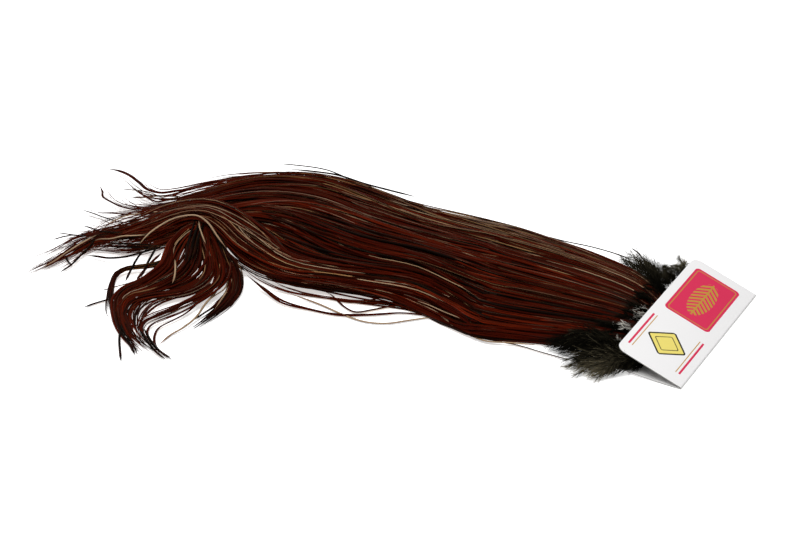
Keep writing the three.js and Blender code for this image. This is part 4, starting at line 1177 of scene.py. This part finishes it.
def select_where(test):
    """Selects the vertices of the mesh in edit mode whose place passes a test."""
    bpy.ops.mesh.select_mode(type="VERT")
    data = bpy.context.edit_object.data
    mesh = bmesh.from_edit_mesh(data)
    for vertex in mesh.verts:
        vertex.select_set(bool(test(vertex.co)))
    mesh.select_flush_mode()
    bmesh.update_edit_mesh(data)


def thicken(piece, thickness):
    """Thickens a sheet to the side it faces, for good, with its back and rim in its next two materials."""
    solidify = piece.modifiers.new("thickness", "SOLIDIFY")
    solidify.thickness = thickness
    solidify.offset = 1
    solidify.material_offset = 1
    solidify.material_offset_rim = 2
    bpy.ops.object.modifier_apply(modifier=solidify.name)


class SADDLE_OT_card(bpy.types.Operator):
    """Fold the printed header card over the end of the skin"""

    bl_idname = "saddle.card"
    bl_label = "Header card"

    def execute(self, context):
        card = context.scene.saddle.card
        panel = card.depth - card.fold_radius
        turn = math.radians(180 - FLAP_LIFT) / FOLD_STEPS
        chord = 2 * card.fold_radius * math.sin(turn / 2)
        arc = chord * (FOLD_STEPS - 1)
        piece = start_plane("card", card.length, 2 * panel + arc, (0, -arc / 2))
        bpy.ops.mesh.bevel(offset=card.corner, affect="VERTICES", segments=CORNER_SEGMENTS)
        for step in range(FOLD_STEPS):
            bpy.ops.mesh.select_all(action="SELECT")
            bpy.ops.mesh.bisect(plane_co=(0, -step * chord, 0), plane_no=(0, 1, 0))

        # The flat map runs along the fold, and up the flap from the end of the fold.
        bpy.ops.object.mode_set(mode="OBJECT")
        piece.data.uv_layers.active.name = "flat"
        for loop, uv in zip(piece.data.loops, piece.data.uv_layers["flat"].data):
            place = piece.data.vertices[loop.vertex_index].co
            uv.uv = (place.x, -arc - place.y)
        bpy.ops.object.mode_set(mode="EDIT")

        # The flap folds over step by step, from the last line of the fold to the first.
        for step in reversed(range(FOLD_STEPS)):
            line = -step * chord
            select_where(lambda place: place.y < line - TOUCH or place.z > TOUCH)
            bpy.ops.transform.rotate(value=turn, orient_axis="X", center_override=(0, line, 0))

        # The near corner of the lower panel has curled up a little.
        corner_x, corner_y = -card.length / 2, panel
        for away, _ in CURL:
            select_where(lambda place: abs(place.z) < TOUCH)
            middle = (corner_x + away / math.sqrt(2), corner_y - away / math.sqrt(2), 0)
            bpy.ops.mesh.bisect(plane_co=middle, plane_no=(1, -1, 0))
        for away, lift in CURL:
            select_where(
                lambda place: place.z < FLAP_CLEAR
                and (place.x - corner_x + corner_y - place.y) / math.sqrt(2) < away - TOUCH
            )
            bpy.ops.transform.translate(value=(0, 0, lift))
        bpy.ops.object.mode_set(mode="OBJECT")
        # The back's and the cut rim's greys are partly painted shade.
        materials = [
            board_material("uncoated_board_painted_shade", card.inside),
            card_material(card),
            board_material("cut_board_painted_shade", card.edge),
        ]
        finish_piece(piece, materials, "header_card")
        thicken(piece, card.thickness)
        bpy.ops.object.shade_smooth_by_angle(angle=CARD_SMOOTH_ANGLE)
        to_row = Matrix.Rotation(math.radians(CARD_TURN), 4, "Z")
        piece.data.transform(to_row @ Matrix.Translation((0, card.fold_radius - card.depth / 2, 0)))
        return {"FINISHED"}


class SADDLE_OT_skin(bpy.types.Operator):
    """Cut the strip of dried skin that carries the feathers"""

    bl_idname = "saddle.skin"
    bl_label = "Skin"

    def execute(self, context):
        skin = context.scene.saddle.skin
        length = (SKIN_ALONG[1] - SKIN_ALONG[0]) * MM
        depth = (SKIN_OUT[1] - SKIN_OUT[0]) * MM
        center = (sum(SKIN_ALONG) / 2 * MM, sum(SKIN_OUT) / 2 * MM)
        piece = start_plane("skin", length, depth, center)
        bpy.ops.mesh.bevel(offset=skin.corner, affect="VERTICES", segments=CORNER_SEGMENTS)
        bpy.ops.mesh.select_all(action="SELECT")
        for share in SKIN_CUTS:
            bpy.ops.mesh.bisect(plane_co=(0, SKIN_OUT[0] * MM + depth * share, 0), plane_no=(0, 1, 0))
            bpy.ops.mesh.select_all(action="SELECT")
        waist = SKIN_OUT[0] * MM + depth / 2
        select_where(lambda place: abs(place.y - waist) < depth * WAIST_REACH)
        bpy.ops.transform.resize(value=(WAIST_WIDTH, 1, 1), center_override=(*center, 0))
        bpy.ops.mesh.select_all(action="SELECT")
        bpy.ops.transform.translate(value=(0, 0, skin.height))
        bpy.ops.object.mode_set(mode="OBJECT")
        thicken(piece, skin.thickness)
        bpy.ops.object.shade_smooth_by_angle(angle=SKIN_SMOOTH_ANGLE)
        piece.data.transform(Matrix.Rotation(math.radians(CARD_TURN), 4, "Z"))
        finish_piece(piece, [skin_material(skin)], "pelt")
        return {"FINISHED"}


class SADDLE_OT_hackles(bpy.types.Operator):
    """Lay the bundles of long hackles along the body and out to their curled tips"""

    bl_idname = "saddle.hackles"
    bl_label = "Hackles"

    def execute(self, context):
        settings = context.scene.saddle
        material = hackle_material(settings.hackles)
        width = settings.hackles.width / MM
        for place, bundle in enumerate(BUNDLES):
            rng = np.random.default_rng([SEED, place])
            mesh = hackle_bundle({**BUNDLE_DEFAULTS, **bundle}, settings.card, width, rng)
            add_piece(bundle["name"], mesh, [material], "pelt")
        return {"FINISHED"}


class SADDLE_OT_strays(bpy.types.Operator):
    """Lay the single feathers that have come away from the bundles"""

    bl_idname = "saddle.strays"
    bl_label = "Stray hackles"

    def execute(self, context):
        settings = context.scene.saddle
        rng = np.random.default_rng([SEED, STRAY_SEED])
        at = np.linspace(0, 1, STRAY_STATIONS)[None]
        lines = np.concatenate([follow(np.array(route, float)[None], at) for _, route in STRAYS])
        tint, turned, black, wide = np.array([TONES[tone] for tone, _ in STRAYS], float).T
        count = len(lines)
        roll = rng.normal(0, ROLL_SPREAD, (count, 1)) + math.pi * turned[:, None]
        roll = np.repeat(roll, STRAY_STATIONS, axis=1)
        widths = settings.hackles.width / MM * wide * rng.uniform(*STRAY_WIDTHS, count)
        mesh = feather_mesh("stray_hackles", lines, UP, roll, widths, tint, black, np.zeros(count))
        material = bpy.data.materials.get(HACKLE_NAME) or hackle_material(settings.hackles)
        add_piece("stray_hackles", mesh, [material], "pelt")
        return {"FINISHED"}


class SADDLE_OT_down(bpy.types.Operator):
    """Grow the clumps of down beside the card"""

    bl_idname = "saddle.down"
    bl_label = "Down"

    def execute(self, context):
        settings = context.scene.saddle
        material = down_material(settings.down)
        for place, clump in enumerate(DOWN_CLUMPS):
            rng = np.random.default_rng([SEED, DOWN_SEED + place])
            mesh = down_clump(clump, settings.card, settings.down.radius / MM, rng)
            add_piece(clump["name"], mesh, [material], "pelt")
        return {"FINISHED"}


class SADDLE_OT_stage(bpy.types.Operator):
    """Set the camera, the white table and the soft light"""

    bl_idname = "saddle.stage"
    bl_label = "Stage"

    def execute(self, context):
        stage = context.scene.saddle.stage
        scene = context.scene
        bpy.ops.object.select_all(action="DESELECT")
        bpy.ops.mesh.primitive_plane_add(size=FLOOR_SIZE, location=(0, 0, -FLOOR_DROP))
        floor = context.object
        floor.name = "floor"
        material, tree = new_material("lit_white_table")
        shader = add_node(
            tree, "BsdfPrincipled",
            values={
                "Base Color": stage.floor, "Roughness": 0.9, "Specular IOR Level": 0.1,
                "Emission Color": stage.floor, "Emission Strength": stage.floor_glow,
            },
        )
        add_node(tree, "OutputMaterial", links={"Surface": shader})
        floor.data.materials.append(material)

        camera_data = bpy.data.cameras.new("camera")
        camera_data.lens = stage.lens
        camera_data.sensor_width = SENSOR_WIDTH
        camera_data.sensor_fit = "HORIZONTAL"
        camera = bpy.data.objects.new("camera", camera_data)
        scene.collection.objects.link(camera)
        x, y, z = stage.target
        camera.location = (
            x, y - stage.distance * math.cos(stage.elevation), z + stage.distance * math.sin(stage.elevation)
        )
        camera.rotation_euler = (math.pi / 2 - stage.elevation, 0, 0)
        scene.camera = camera

        world = bpy.data.worlds.new("studio")
        world.use_nodes = True
        background = world.node_tree.nodes["Background"]
        background.inputs["Color"].default_value = (1, 1, 1, 1)
        background.inputs["Strength"].default_value = stage.sky
        scene.world = world
        light_data = bpy.data.lights.new("softbox", "AREA")
        light_data.shape = "DISK"
        light_data.size = SOFTBOX_SIZE
        light_data.energy = stage.softbox
        light = bpy.data.objects.new("softbox", light_data)
        light.location = SOFTBOX_PLACE
        light.rotation_euler = [math.radians(turn) for turn in SOFTBOX_TURN]
        scene.collection.objects.link(light)
        scene.view_settings.view_transform = "Standard"
        return {"FINISHED"}


class SADDLE_PT_panel(bpy.types.Panel):
    bl_label = "Rooster Saddle"
    bl_idname = "SADDLE_PT_panel"
    bl_space_type = "VIEW_3D"
    bl_region_type = "UI"
    bl_category = "Saddle"

    def draw(self, context):
        for operator in OPERATORS:
            self.layout.operator(operator.bl_idname)


OPERATORS = (
    SADDLE_OT_card, SADDLE_OT_skin, SADDLE_OT_hackles, SADDLE_OT_strays, SADDLE_OT_down, SADDLE_OT_stage,
)
CLASSES = (
    CardSettings, SkinSettings, HackleSettings, DownSettings, StageSettings, SaddleSettings,
    *OPERATORS, SADDLE_PT_panel,
)


def register():
    for cls in CLASSES:
        bpy.utils.register_class(cls)
    bpy.types.Scene.saddle = bpy.props.PointerProperty(type=SaddleSettings)


def unregister():
    del bpy.types.Scene.saddle
    for cls in reversed(CLASSES):
        bpy.utils.unregister_class(cls)


def main():
    register()
    bpy.ops.saddle.card()
    bpy.ops.saddle.skin()
    bpy.ops.saddle.hackles()
    bpy.ops.saddle.strays()
    bpy.ops.saddle.down()
    bpy.ops.saddle.stage()


if __name__ == "__main__":
    main()
